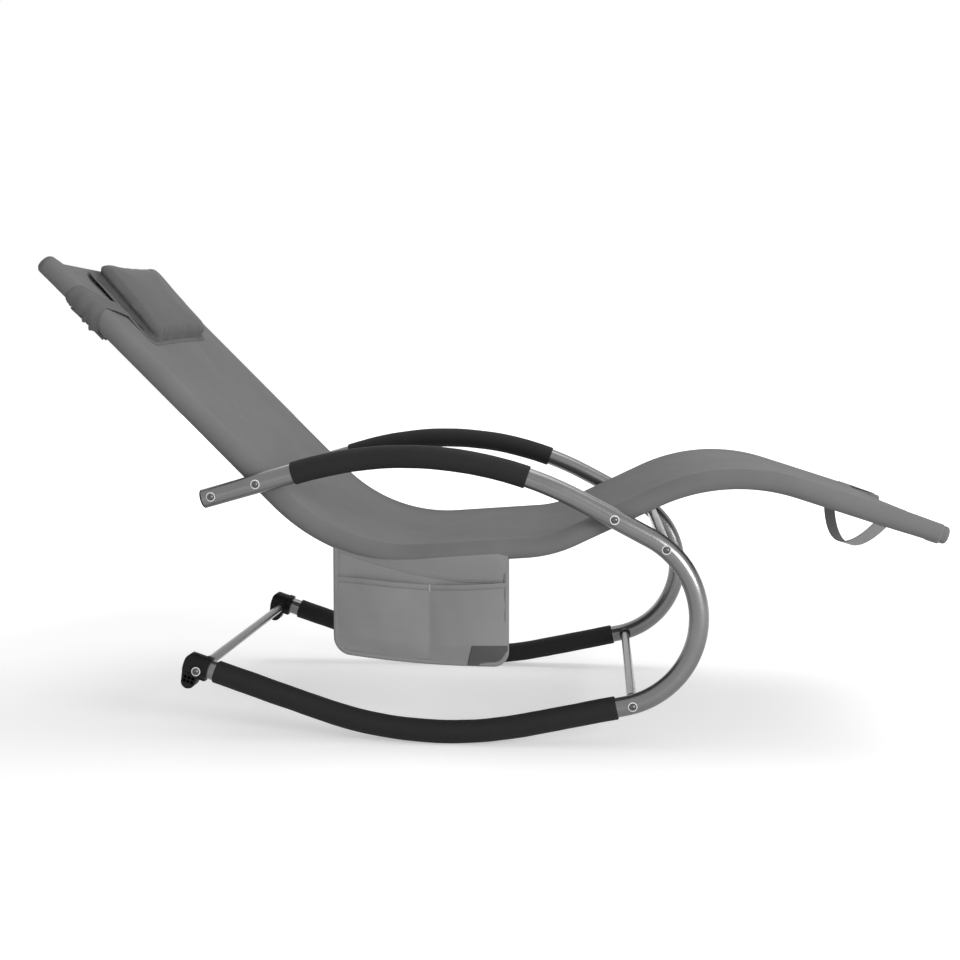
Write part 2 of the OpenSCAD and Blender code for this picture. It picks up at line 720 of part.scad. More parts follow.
// Sewn sleeves on the rails, closed at both ends, and thin at the foot tip where no sheet pulls
module sleeve(side) {
    tip_at = rail_end - foot_hem;
    color([0.45, 0.45, 0.46]) on_side(side, rail_y) difference() {
        union() {
            rail_run([sleeve_out, 0], -cap_out, tip_at);
            rail_run([tip_out, 0], tip_at - sleeve_wall, rail_end + cap_out);
        }
        rail_run([sleeve_in, 0], -plug_rim - fabric_gap, rail_end + plug_rim + fabric_gap);
        // Open for the saddles outside and for the spreaders inside
        holes_at(seat_bolts, saddle_d + 2 * cut, 0, rail_od);
        for (s = [head_spreader_at, foot_spreader_at])
            at(place_on(rail_path, rail_start, s)) translate([0, -spreader_low, -rail_od])
                cylinder(d = spreader_od + cut, h = rail_od, $fn = fine);
    }
}
module right_sleeve() { sleeve(right); }
module left_sleeve() { sleeve(left); }

// The stretched sheet lies level with the sleeves' crowns, and its foot hem curves in
sheet_off = sleeve_out - sheet_h / 2;
sheet_side = sqrt(sleeve_out * sleeve_out - (sleeve_out - sheet_h) * (sleeve_out - sheet_h)) + touch;
sheet_half = rail_y - sheet_side;
module sling_sheet() {
    hem_radius = (sheet_half * sheet_half + hem_curve * hem_curve) / (2 * hem_curve);
    color([0.45, 0.45, 0.46]) rotate([90, 0, 0]) difference() {
        rail_run([sheet_off, sheet_h, sheet_half], head_hem, rail_end - foot_hem);
        at(place_on(rail_path, rail_start, rail_end - foot_hem))
            translate([hem_radius - hem_curve, 0, 0]) rotate([-90, 0, 0])
            cylinder(r = hem_radius, h = 4 * rail_od, center = true, $fn = 4 * around);
    }
}

// Pillow: crowned above a seam flange, thicker at its upper side, with drawn-in sides
pillow_rings = 11;
pillow_steps = 64;
flange_h = 2.5;
pillow_base = sleeve_out + fabric_gap;
corner_power = 5;
dome_power = 4;
dome_root = 0.55;
flange_share = 0.97;
function power(v, p) = sign(v) * pow(abs(v), p);
// A point on the outline: a rounded rectangle whose four sides are drawn in between the corners
function outline(a, share) =
    let (u = power(cos(a), 2 / corner_power), v = power(sin(a), 2 / corner_power),
         hx = pillow_height / 2 - pillow_draw * (1 - v * v),
         hz = pillow_len / 2 - pillow_draw * (1 - u * u))
    [share * u * hx, share * v * hz];
function pillow_h(x, share) =
    let (mid = (pillow_top_h + pillow_low_h) / 2, lean = (pillow_low_h - pillow_top_h) / pillow_height)
    (mid + lean * x) * pow(1 - pow(share, dome_power), dome_root);
module pillow_cushion() {
    shares = [for (k = [0:pillow_rings]) sin(k / pillow_rings * half_turn / 2)];
    top = [for (k = [1:pillow_rings], i = [0:pillow_steps - 1])
        let (share = shares[k] * flange_share, p = outline(i / pillow_steps * 2 * half_turn, share))
        [p[0], flange_h + pillow_h(p[0], shares[k]), p[1]]];
    flange = [for (y = [flange_h, 0], i = [0:pillow_steps - 1])
        let (p = outline(i / pillow_steps * 2 * half_turn, 1)) [p[0], y, p[1]]];
    points = concat([[0, flange_h + pillow_h(0, 0), 0]], top, flange, [[0, 0, 0]]);
    rings = pillow_rings + 2;
    last = len(points) - 1;
    faces = concat(
        [for (i = [0:pillow_steps - 1]) [0, 1 + (i + 1) % pillow_steps, 1 + i]],
        [for (k = [0:rings - 2], i = [0:pillow_steps - 1])
            let (a = 1 + k * pillow_steps + i, b = 1 + k * pillow_steps + (i + 1) % pillow_steps)
            [a, b, b + pillow_steps]],
        [for (k = [0:rings - 2], i = [0:pillow_steps - 1])
            let (a = 1 + k * pillow_steps + i, b = 1 + k * pillow_steps + (i + 1) % pillow_steps)
            [a, b + pillow_steps, a + pillow_steps]],
        [for (i = [0:pillow_steps - 1])
            [last, last - pillow_steps + i, last - pillow_steps + (i + 1) % pillow_steps]]
    );
    color([0.40, 0.40, 0.41]) rotate([90, 0, 0]) at(rail_start)
        translate([pillow_at + pillow_height / 2, pillow_base, 0])
        polyhedron(points, faces);
}

// The band leaves the pillow's sides, widens and goes round the outside of each sleeve
band_in = sleeve_out + fabric_gap;
band_extra = 0.4;
band_turn_h = band_h + band_extra;
band_lap = 3;
band_tail = 30;
elastic_down = 41;
elastic_from = pillow_at + elastic_down;
module pillow_band() {
    neck_from = pillow_at + band_down;
    inner = rail_y - pillow_len / 2 - fabric_gap;
    color([0.40, 0.40, 0.41]) both_sides(rail_y) at(rail_start) {
        translate([0, band_in + band_h, 0]) rotate([90, 0, 0]) linear_extrude(band_h)
            polygon([
                [neck_from, -inner], [neck_from + band_neck, -inner],
                [elastic_from + elastic_height, -band_lap], [elastic_from, -band_lap]
            ]);
        translate([elastic_from, -band_in - band_h, -band_tail])
            cube([elastic_height, band_h, band_tail - band_lap]);
        intersection() {
            sweep_straight([band_in + band_turn_h, band_in], elastic_from, elastic_from + elastic_height);
            translate([0, -rail_od, -band_lap - band_trim]) cube([rail_end, 2 * rail_od, rail_od]);
        }
    }
}
// The gathered elastic behind the back, sewn under the band's tails
module pillow_elastic() {
    half_w = rail_y - 2 * band_lap;
    color([0.40, 0.40, 0.41]) rotate([90, 0, 0]) at(rail_start)
        translate([elastic_from, -band_in - band_h - touch - elastic_h, -half_w])
        cube([elastic_height, elastic_h, 2 * half_w]);
}

// Side bag under the right rail: a back panel, an open pocket on its outside and a binding above
bag_from = contact_x - bag_back;
bag_top = 345;
module bag_outline(inset) {
    r = bag_corner - inset;
    low = [[bag_from + bag_corner, bag_rear_low + bag_corner],
           [bag_from + bag_len - bag_corner, bag_front_low + bag_corner]];
    polygon([
        [bag_from + inset, bag_top], [bag_from + inset, low[0][1]],
        [low[0][0], bag_rear_low + inset], [low[1][0], bag_front_low + inset],
        [bag_from + bag_len - inset, low[1][1]], [bag_from + bag_len - inset, bag_top]
    ]);
    for (p = low)
        translate(p) circle(r, $fn = fine);
}
// Everything above the sleeve's underside, less a gap, is cut away along the rail
cutter_h = 80;
module above_rail(gap) {
    low = sleeve_out + gap;
    rail_run([cutter_h / 2 - low, cutter_h, rail_od], back_len, back_len + 2 * bag_len);
}
module bag_panel() {
    color([0.30, 0.30, 0.31]) on_side(right, rail_y) difference() {
        translate([0, 0, -bag_fabric / 2]) linear_extrude(bag_fabric) bag_outline(0);
        above_rail(fabric_gap + binding_h);
    }
}
pocket_slope = -3.2;
module bag_pocket() {
    color([0.30, 0.30, 0.31]) on_side(right, rail_y) translate([0, 0, bag_fabric / 2 + touch]) difference() {
        linear_extrude(pocket_depth) bag_outline(0);
        translate([0, 0, -cut]) linear_extrude(pocket_depth - bag_fabric + cut) bag_outline(bag_fabric);
        translate([bag_from + bag_len / 2, pocket_open, pocket_depth / 2]) rotate([0, 0, pocket_slope])
            translate([-bag_len, 0, -pocket_depth]) cube([2 * bag_len, bag_len, 2 * pocket_depth]);
    }
}
module bag_binding() {
    from = rail_at_x(bag_from + fabric_gap);
    to = rail_at_x(bag_from + bag_len);
    mid = sleeve_out + fabric_gap + (binding_h - touch) / 2;
    color([0.30, 0.30, 0.31]) on_side(right, rail_y)
        rail_run([-mid, binding_h - touch, bag_fabric], from, to);
}
// Length along the rail at a given x, by steps of a search that starts at the seat
search_steps = 6;
function rail_at_x(x, s = reach(rail_path, 2), n = search_steps) =
    n == 0 ? s
    : let (p = place_on(rail_path, rail_start, s)) rail_at_x(x, s + (x - p[0]) / cos(p[2]), n - 1);

// Webbing that hangs in an arc from under one sleeve to under the other
strap_in = 4;
module leg_strap() {
    half_w = rail_y - strap_in;
    strap_r = (half_w * half_w + strap_sag * strap_sag) / (2 * strap_sag);
    half_angle = asin(half_w / strap_r);
    top = sleeve_out + fabric_gap + strap_h / 2;
    color([0.20, 0.20, 0.21]) rotate([90, 0, 0]) at(place_on(rail_path, rail_start, rail_end - strap_back))
        translate([-strap_width / 2, strap_r - strap_sag - top, 0]) rotate([0, 90, 0]) rotate([0, 0, -half_turn / 2 - half_angle])
        rotate_extrude(angle = 2 * half_angle, $fn = around)
        translate([strap_r - strap_h / 2, 0]) square([strap_h, strap_width]);
}

right_arm_tube();
left_arm_tube();
right_front_bend();
left_front_bend();
right_runner_tube();
left_runner_tube();
right_arm_foam();
left_arm_foam();
right_runner_foam();
left_runner_foam();
arm_plugs();
right_rear_foot();
left_rear_foot();
rear_upper_crossbar();
front_upper_crossbar();
front_lower_crossbar();
rear_lower_crossbar();
crossbar_cups();
crossbar_inserts();
crossbar_bolts();
crossbar_washers();
right_seat_rail();
left_seat_rail();
head_spreader();
foot_spreader();
rail_plugs();
rail_saddles();
rail_bolts();
rail_washers();
rail_nuts();
right_sleeve();
left_sleeve();
sling_sheet();
pillow_cushion();
pillow_band();
pillow_elastic();
bag_panel();
bag_pocket();
bag_binding();
leg_strap();
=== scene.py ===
"""Rocking chaise lounge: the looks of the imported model.

Lengths are in metres in the model's own frame: the head end lies at -X, the foot end at +X, the
sitter's right side at -Y, and the floor is Z = 0.
"""
import math

import bmesh
import bpy
import numpy as np
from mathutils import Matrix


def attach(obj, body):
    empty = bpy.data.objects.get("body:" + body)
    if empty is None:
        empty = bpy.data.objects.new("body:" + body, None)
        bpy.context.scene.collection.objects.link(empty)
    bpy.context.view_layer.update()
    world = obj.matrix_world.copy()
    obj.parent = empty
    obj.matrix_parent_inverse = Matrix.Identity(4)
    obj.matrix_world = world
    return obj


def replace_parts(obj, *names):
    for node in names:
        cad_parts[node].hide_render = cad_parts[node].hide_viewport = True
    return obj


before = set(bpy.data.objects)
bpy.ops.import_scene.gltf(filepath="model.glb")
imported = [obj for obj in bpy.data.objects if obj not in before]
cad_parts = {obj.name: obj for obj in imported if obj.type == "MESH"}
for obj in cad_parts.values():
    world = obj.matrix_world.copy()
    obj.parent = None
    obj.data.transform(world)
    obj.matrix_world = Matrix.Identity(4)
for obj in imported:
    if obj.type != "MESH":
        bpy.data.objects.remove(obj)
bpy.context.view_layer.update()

scene = bpy.context.scene

# Camera
eye = bpy.data.cameras.new("photo_camera")
eye.lens = 48.0
eye.sensor_width = 36.0
eye.clip_start = 0.05
camera = bpy.data.objects.new("photo_camera", eye)
camera.location = (0.1834, -2.327, 0.612)
camera.rotation_euler = (math.radians(85.003), 0.0, math.radians(5.203))
scene.collection.objects.link(camera)
scene.camera = camera

# Sizes
# A bent tube is a start (x, z), a heading in degrees, and its legs: a straight is (length, 0) and a
# bend is (radius, turn in degrees), to the left when positive.
HOOP = ((-0.45598, 0.398884), 15.9,
        ((0.174, 0), (0.608, -43.7), (0.123, 0), (0.147, -139.9), (0.163, 0), (0.640, -30.7), (0.227, 0)))
RAIL = ((-0.727792, 0.784357), -44.9,
        ((0.550, 0), (0.308, 49.1), (0.169, 0), (0.207, 21.6), (0.148, 0), (0.311, -43.5), (0.236, 0)))
# How far the centre lines of the hoops and of the rails lie from the middle, and the radii of their
# tubes, foams and sleeves. The rest are lengths along the traced lines, and the rockers' lowest place.
HOOP_Y, RAIL_Y = 0.288, 0.2555
HOOP_R, FOAM_R = 0.016, 0.0192
SLEEVE_R = 0.0152
RAIL_END = 1.6811
LOWER_SEAM, FOOT_MOUTH = 1.11966, 1.82358
CONTACT_X = -0.062545


# Shape helpers
def trace(path, s):
    """Points of a bent tube's centre line at lengths s: on a straight, start + s * heading; on a bend
    of radius r, start + r * (sin(h + s/r) - sin h, cos h - cos(h + s/r)). Returns x, z and heading."""
    (x, z), heading, legs = path
    h = math.radians(heading)
    s = np.asarray(s, float)
    px, pz, ph = np.zeros_like(s), np.zeros_like(s), np.zeros_like(s)
    done = 0.0
    for n, (size, turn) in enumerate(legs):
        long = size * math.radians(abs(turn)) if turn else size
        here = (s >= done) | (n == 0)
        d = s - done
        if turn:
            r = math.copysign(size, turn)
            a = h + d / r
            qx, qz = x + r * (np.sin(a) - math.sin(h)), z - r * (np.cos(a) - math.cos(h))
        else:
            a = np.full_like(s, h)
            qx, qz = x + d * math.cos(h), z + d * math.sin(h)
        px, pz, ph = np.where(here, qx, px), np.where(here, qz, pz), np.where(here, a, ph)
        if turn:
            end = h + math.radians(turn)
            x, z, h = x + r * (math.sin(end) - math.sin(h)), z - r * (math.cos(end) - math.cos(h)), end
        else:
            x, z = x + size * math.cos(h), z + size * math.sin(h)
        done += long
    return px, pz, ph


def beside(path, s, n, y):
    """World points at length s along a path, n to its left (upwards on the rails) and y across."""
    s, n, y = np.broadcast_arrays(s, n, y)
    x, z, h = trace(path, s)
    return np.stack([x - n * np.sin(h), y.astype(float), z + n * np.cos(h)], -1)


def smooth(a, b, t):
    """0 before a, 1 after b, and 3t^2 - 2t^3 between."""
    t = np.clip((np.asarray(t, float) - a) / (b - a), 0, 1)
    return t * t * (3 - 2 * t)


def wander(t, seed, waves=5, slow=1.0):
    """A smooth irregular wave of about unit height: a sum of sines with seeded phases."""
    rng = np.random.default_rng(seed)
    t = np.asarray(t, float)
    total = np.zeros_like(t)
    for k in range(waves):
        total = total + np.sin(t * slow * (k + 1) * rng.uniform(0.8, 1.25) + rng.uniform(0, 6.28)) / (k + 1)
    return total / 1.6


def quads(rows, cols, start=0, close_rows=False, close_cols=False):
    """Faces of a grid of rows x cols points, which may close on itself either way."""
    r = np.arange(rows if close_rows else rows - 1)[:, None]
    c = np.arange(cols if close_cols else cols - 1)[None, :]
    r2, c2 = (r + 1) % rows, (c + 1) % cols
    faces = np.stack(np.broadcast_arrays(r * cols + c, r * cols + c2, r2 * cols + c2, r2 * cols + c), -1)
    return faces.reshape(-1, 4) + start


def piece(name, points, faces, finish, uv=None):
    """A mesh object at the origin, its faces turned out. uv is one pair a point."""
    mesh = bpy.data.meshes.new(name)
    points = np.asarray(points, float).reshape(-1, 3)
    mesh.from_pydata(points.tolist(), [], [f for group in faces for f in np.asarray(group).tolist()])
    mesh.update()
    shape = bmesh.new()
    shape.from_mesh(mesh)
    bmesh.ops.recalc_face_normals(shape, faces=shape.faces)
    shape.to_mesh(mesh)
    shape.free()
    if uv is not None:
        layer = mesh.uv_layers.new(name="cloth")
        corner = np.empty(len(mesh.loops), dtype=np.int32)
        mesh.loops.foreach_get("vertex_index", corner)
        layer.data.foreach_set("uv", np.asarray(uv, float).reshape(-1, 2)[corner].ravel())
    mesh.polygons.foreach_set("use_smooth", [True] * len(mesh.polygons))
    mesh.materials.append(finish)
    obj = bpy.data.objects.new(name, mesh)
    scene.collection.objects.link(obj)
    return obj


def shell(name, outer, thick, finish, uv=None, back=0.0):
    """A cloth with two faces: the outer grid of points, and the same grid moved inwards by thick along
    its normals, joined round the four edges. thick is a number or one number a point, and back moves the
    second face's place on the map."""
    du = np.gradient(outer, axis=1)
    dv = np.gradient(outer, axis=0)
    normal = np.cross(du, dv)
    normal /= np.maximum(np.linalg.norm(normal, axis=-1, keepdims=True), 1e-12)
    inner = outer - normal * np.broadcast_to(thick, outer.shape[:2])[..., None]
    rows, cols = outer.shape[:2]
    count = rows * cols
    grid = np.arange(count).reshape(rows, cols)
    rim = np.concatenate([grid[0, :-1], grid[:-1, -1], grid[-1, :0:-1], grid[:0:-1, 0]])
    nxt = np.roll(rim, -1)
    edge = np.stack([rim, nxt, nxt + count, rim + count], -1)
    faces = [quads(rows, cols), quads(rows, cols, count), edge]
    if uv is not None:
        uv = np.concatenate([uv.reshape(-1, 2), uv.reshape(-1, 2) + (back, 0)])
    return piece(name, np.concatenate([outer.reshape(-1, 3), inner.reshape(-1, 3)]), faces, finish, uv)


def stitches(name, line, up, finish, pitch=0.0042, length=0.003, radius=0.00045):
    """Thread showing along a line of points: at each pitch a small six-sided bead, flattened and
    longer than the gap, that lies on the cloth. up is the cloth's normal, one or one a point."""
    line = np.asarray(line, float)
    up = np.broadcast_to(np.asarray(up, float), line.shape)
    run = np.concatenate([[0], np.cumsum(np.linalg.norm(np.diff(line, axis=0), axis=1))])
    at = np.arange(pitch / 2, run[-1], pitch)
    c = np.stack([np.interp(at, run, line[:, k]) for k in range(3)], -1)
    n = np.stack([np.interp(at, run, up[:, k]) for k in range(3)], -1)
    d = np.stack([np.interp(at + 1e-3, run, line[:, k]) - np.interp(at - 1e-3, run, line[:, k])
                  for k in range(3)], -1)
    d /= np.maximum(np.linalg.norm(d, axis=1, keepdims=True), 1e-9)
    n /= np.maximum(np.linalg.norm(n, axis=1, keepdims=True), 1e-9)
    b = np.cross(d, n)
    ring = np.array([[-0.5, 0, 0]] + [[t, math.cos(q), math.sin(q)] for t in (-0.28, 0.28)
                                      for q in np.linspace(0, 2 * math.pi, 5, endpoint=False)] + [[0.5, 0, 0]])
    p = (c[:, None] + d[:, None] * (ring[None, :, 0:1] * length)
         + b[:, None] * (ring[None, :, 1:2] * radius * 1.5) + n[:, None] * (ring[None, :, 2:3] * radius))
    k = np.arange(5)
    k2 = (k + 1) % 5
    first = np.stack([0 * k, 1 + k2, 1 + k], -1)
    last = np.stack([0 * k + 11, 6 + k, 6 + k2], -1)
    side = np.stack([1 + k, 1 + k2, 6 + k2, 6 + k], -1)
    step = (np.arange(len(at)) * 12)[:, None, None]
    return piece(name, p, [(f[None] + step).reshape(-1, f.shape[1]) for f in (first, last, side)], finish)


def join(name, parts):
    """Several pieces of one material made one object."""
    first = parts[0]
    with bpy.context.temp_override(active_object=first, object=first, selected_objects=parts,
                                   selected_editable_objects=parts):
        bpy.ops.object.join()
    first.name = first.data.name = name
    return first


# Materials
class Value:
    """A socket of a material. Arithmetic on it adds the Math nodes."""

    def __init__(self, finish, socket):
        self.finish, self.socket = finish, socket

    def math(self, kind, *others, first=None):
        node = self.finish.tree.nodes.new("ShaderNodeMath")
        node.operation = kind
        for slot_in, value in zip(node.inputs, ([first] if first is not None else []) + [self, *others]):
            self.finish.feed(slot_in, value)
        return Value(self.finish, node.outputs[0])

    def __add__(self, other):
        return self.math("ADD", other)

    __radd__ = __add__

    def __mul__(self, other):
        return self.math("MULTIPLY", other)

    __rmul__ = __mul__

    def __sub__(self, other):
        return self.math("SUBTRACT", other)

    def __rsub__(self, other):
        return self.math("SUBTRACT", first=other)

    def __truediv__(self, other):
        return self.math("DIVIDE", other)

    def clamp(self):
        return self.math("MAXIMUM", 0.0).math("MINIMUM", 1.0)


class Finish:
    """A material or a world in the making: nodes go in through node(), and end() closes a material."""

    def __init__(self, name, kind="materials"):
        self.material = getattr(bpy.data, kind).new(name)
        self.material.use_nodes = True
        self.tree = self.material.node_tree
        self.tree.nodes.clear()

    def feed(self, socket, value):
        if isinstance(value, Value):
            self.tree.links.new(value.socket, socket)
        elif value is not None:
            socket.default_value = value

    def node(self, kind, settings=None, out=0, **sockets):
        """Adds a node: its settings first, then its sockets by name with _ for spaces."""
        node = self.tree.nodes.new("ShaderNode" + kind)
        for key, value in (settings or {}).items():
            if key == "stops":
                ramp = node.color_ramp
                while len(ramp.elements) < len(value):
                    ramp.elements.new(0.5)
                for element, (at, level) in zip(ramp.elements, value):
                    element.position = at
                    element.color = (level, level, level, 1)
            else:
                setattr(node, key, value)
        for key, value in sockets.items():
            if key.startswith("in_"):
                self.feed(node.inputs[int(key[3:])], value)
            else:
                self.feed(node.inputs[key.replace("_", " ")], value)
        return Value(self, node.outputs[out])

    def where(self):
        return self.node("TexCoord", out=3)

    def cloth(self):
        return self.node("UVMap", {"uv_map": "cloth"})

    def noise(self, scale, detail=2.0, rough=0.5, vector=None):
        return self.node("TexNoise", Vector=vector or self.where(), Scale=scale, Detail=detail, Roughness=rough)

    def ramp(self, value, *stops):
        return self.node("ValToRGB", {"stops": stops}, Fac=value)

    def mix(self, share, a, b):
        return self.node("Mix", {"data_type": "RGBA"}, out=2, in_0=share, in_6=a, in_7=b)

    def split(self, vector, axis):
        return self.node("SeparateXYZ", out=axis, Vector=vector)

    def bump(self, height, strength, distance):
        return self.node("Bump", Height=height, Strength=strength, Distance=distance)

    def seen(self):
        """1 for what the camera, gloss and glass show, and 0 for what lights the object."""
        straight, gloss, glass = (self.node("LightPath", out=n) for n in (0, 3, 6))
        return straight.math("MAXIMUM", gloss).math("MAXIMUM", glass)

    def close(self, kind, value):
        self.tree.links.new(value.socket, self.tree.nodes.new("ShaderNodeOutput" + kind).inputs["Surface"])

    def end(self, colour, rough, bump=None, **plain):
        """Closes the material with a Principled shader. plain holds its other sockets, as numbers."""
        shader = self.node("BsdfPrincipled", Base_Color=colour, Roughness=rough, Normal=bump, **plain)
        self.close("Material", shader)
        return self.material


def grey(level):
    return (level, level, level, 1.0)


def woven(name, dark, light):
    """Coated polyester: an over-and-under weave, 1.1 mm a repeat, from two crossed waves on the cloth's
    own map, slow changes of tone, and fine fuzz."""
    f = Finish(name)
    uv = f.cloth()
    turn = 2 * math.pi / 0.0011
    weave = (f.split(uv, 0) * turn).math("SINE") * (f.split(uv, 1) * turn).math("SINE")
    slow = f.noise(9.0, 3.0, 0.55)
    fuzz = f.noise(900.0, 2.0, 0.6)
    tone = (slow * 0.75 + fuzz * 0.18 + weave * 0.06).clamp()
    colour = f.mix(f.ramp(tone, (0.25, 0.0), (0.75, 1.0)), grey(dark), grey(light))
    return f.end(colour, (0.82 + slow * 0.12).clamp(), f.bump(weave * 0.5 + fuzz * 0.6, 0.5, 0.00025),
                 Specular_IOR_Level=0.18, Sheen_Weight=0.05, Sheen_Roughness=0.45)


def plain_cloth(name, dark, light):
    """The same cloth where no map follows it: fine fuzz and slow tone on the object's own place."""
    f = Finish(name)
    slow = f.noise(11.0, 3.0, 0.55)
    fuzz = f.noise(700.0, 3.0, 0.62)
    threads = f.noise(260.0, 2.0, 0.5)
    tone = (slow * 0.7 + fuzz * 0.2 + threads * 0.1).clamp()
    colour = f.mix(f.ramp(tone, (0.3, 0.0), (0.72, 1.0)), grey(dark), grey(light))
    return f.end(colour, (0.82 + slow * 0.12).clamp(), f.bump(fuzz * 0.7 + threads * 0.5, 0.45, 0.0003),
                 Specular_IOR_Level=0.32, Sheen_Weight=0.12, Sheen_Roughness=0.45)


def painted_steel(name, level, metal, flake_and_reflection_spread):
    """Silver paint over steel: fine flake in tone and roughness, faint orange peel, and slow changes that vary
    the roughness and the tone; in the tone they are painted reflection, standing in for the mottled streaks
    that reflections lay along a tube.
    """
    f = Finish(name)
    flake = f.noise(2600.0, 1.0, 0.5)
    peel = f.noise(240.0, 2.0, 0.5)
    slow = f.noise(14.0, 3.0, 0.6)
    # The flake part of the tone is the paint's own; the slow part is painted reflection.
    tone = (f.ramp(flake, (0.35, 0.0), (0.66, 1.0)) * 0.55 + slow * 0.45).clamp()
    colour = f.mix(tone, grey(level * (1 - flake_and_reflection_spread)), grey(level * (1 + flake_and_reflection_spread)))
    rough = (0.20 + slow * 0.12 + flake * 0.05).clamp()
    return f.end(colour, rough, f.bump(peel * 0.7 + flake * 0.3, 0.14, 0.0002), Metallic=metal,
                 Coat_Weight=0.3, Coat_Roughness=0.09)


def bare_steel(name, level, rough_low):
    """Zinc-plated steel: mottled spangle and fine turning marks."""
    f = Finish(name)
    spangle = f.node("TexVoronoi", Vector=f.where(), Scale=420.0, out=0)
    slow = f.noise(60.0, 3.0, 0.6)
    colour = f.mix((spangle * 0.5 + slow * 0.5).clamp(), grey(level * 0.85), grey(level * 1.1))
    return f.end(colour, (rough_low + slow * 0.2).clamp(), f.bump(spangle, 0.12, 0.0001), Metallic=1.0)


def moulded(name, level, rough_low, grain=520.0, depth=0.3, gloss=0.3):
    """Moulded plastic: leathery spark-eroded grain, with slow gloss changes where it is handled."""
    f = Finish(name)
    fine = f.noise(grain, 3.0, 0.6)
    slow = f.noise(18.0, 2.0, 0.5)
    colour = f.mix(f.ramp(slow, (0.3, 0.0), (0.7, 1.0)), grey(level * 0.85), grey(level * 1.2))
    return f.end(colour, (rough_low + slow * 0.16 + fine * 0.06).clamp(), f.bump(fine, depth, 0.0002),
                 Specular_IOR_Level=gloss)


def foam_rubber(name, level):
    """Closed-cell foam: pores of two sizes sunk into a matt skin, slow scuffs that lighten it."""
    f = Finish(name)
    where = f.where()
    pore = f.node("TexVoronoi", Vector=where, Scale=950.0, out=0)
    big = f.node("TexVoronoi", Vector=where, Scale=330.0, out=0)
    skin = f.noise(35.0, 4.0, 0.6, where)
    scuff = f.ramp(f.noise(7.0, 3.0, 0.6, where), (0.5, 0.0), (0.8, 1.0))
    depth = f.ramp(pore, (0.05, 0.0), (0.45, 1.0)) * 0.6 + f.ramp(big, (0.02, 0.0), (0.25, 1.0)) * 0.5
    colour = f.mix((scuff * 0.6 + skin * 0.3).clamp(), grey(level), grey(level * 1.9))
    return f.end(colour, (0.72 + skin * 0.14).clamp(), f.bump(depth, 0.35, 0.0004), Specular_IOR_Level=0.3)


def brass(name):
    """Brass insert: warm metal, tarnished in slow patches."""
    f = Finish(name)
    slow = f.noise(90.0, 3.0, 0.6)
    colour = f.mix(f.ramp(slow, (0.35, 0.0), (0.7, 1.0)), (0.36, 0.24, 0.09, 1), (0.62, 0.45, 0.18, 1))
    return f.end(colour, (0.25 + slow * 0.2).clamp(), f.bump(slow, 0.1, 0.0002), Metallic=1.0)


def webbing(name, dark, light):
    """Woven tape: ribs across it every 1.6 mm cut by a finer run of warp ends, as small raised dots. One face
    of the tape is painted near black, painted shade for the half of the strap that hangs in shadow.
    """
    f = Finish(name)
    uv = f.cloth()
    across, long = f.split(uv, 0), f.split(uv, 1)
    rib = (long * (2 * math.pi / 0.0032)).math("SINE")
    warp = (across * (2 * math.pi / 0.0022)).math("SINE")
    dots = ((rib * warp) * 0.5 + 0.5).clamp()
    fuzz = f.noise(1200.0, 2.0, 0.6)
    ribbed = f.mix((dots * 0.65 + fuzz * 0.35).clamp(), grey(dark), grey(light))
    # Painted shade: where the map's across is below 0.5, the tape's first face, the colour is near black; the
    # second face, moved past 0.5, carries the ribs.
    colour = f.mix(across.math("GREATER_THAN", 0.5), grey(dark * 0.35), ribbed)
    return f.end(colour, 0.85, f.bump(dots + fuzz * 0.3, 0.7, 0.0005), Specular_IOR_Level=0.3,
                 Sheen_Weight=0.15, Sheen_Roughness=0.4)


SLING = woven("sling_cloth", 0.138, 0.174)
PILLOW = plain_cloth("pillow_cloth", 0.078, 0.100)
BAND = woven("band_cloth", 0.108, 0.138)
# The bag is the sling's fabric painted lighter: painted light, standing in for the light that falls on its
# upright face.
BAG = woven("bag_cloth_painted_lighter", 0.205, 0.250)
PATCH = woven("patch_cloth", 0.070, 0.095)
THREAD = plain_cloth("thread", 0.110, 0.150)
# The bag's thread is lighter in step with the bag's painted-lighter cloth.
BAG_THREAD = plain_cloth("bag_thread", 0.185, 0.230)
TAB = plain_cloth("tab_tape", 0.27, 0.33)
TAPE = webbing("strap_webbing", 0.21, 0.50)
FOAM = foam_rubber("foam_sleeve", 0.008)
SILVER = painted_steel("hoop_paint", 0.175, 0.88, 0.24)
# The crossbars take the frame's silver paint made darker: painted shade for their place under the sling.
SHADED_BAR_PAINT = painted_steel("crossbar_paint_shaded", 0.095, 0.85, 0.18)
RAIL_PAINT = painted_steel("rail_paint", 0.17, 0.80, 0.16)
BLACK = moulded("black_moulding", 0.008, 0.36, gloss=0.13)
BOLT = bare_steel("bolt_zinc", 0.11, 0.16)
WASHER = moulded("white_washer", 0.74, 0.38, 900.0, 0.15)
BRASS = brass("insert_metal")

for finish, names in (
        (SILVER, "right_arm_tube right_front_bend right_runner_tube "
                 "left_arm_tube left_front_bend left_runner_tube"),
        (SHADED_BAR_PAINT, "rear_upper_crossbar front_upper_crossbar front_lower_crossbar rear_lower_crossbar"),
        (RAIL_PAINT, "right_seat_rail left_seat_rail head_spreader foot_spreader"),
        (BLACK, "arm_plugs rail_plugs right_rear_foot left_rear_foot crossbar_cups rail_saddles"),
        (BOLT, "crossbar_bolts rail_bolts"), (BRASS, "rail_nuts crossbar_inserts"),
        (WASHER, "crossbar_washers rail_washers")):
    for node_name in names.split():
        for material_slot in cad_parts[node_name].material_slots:
            material_slot.material = finish



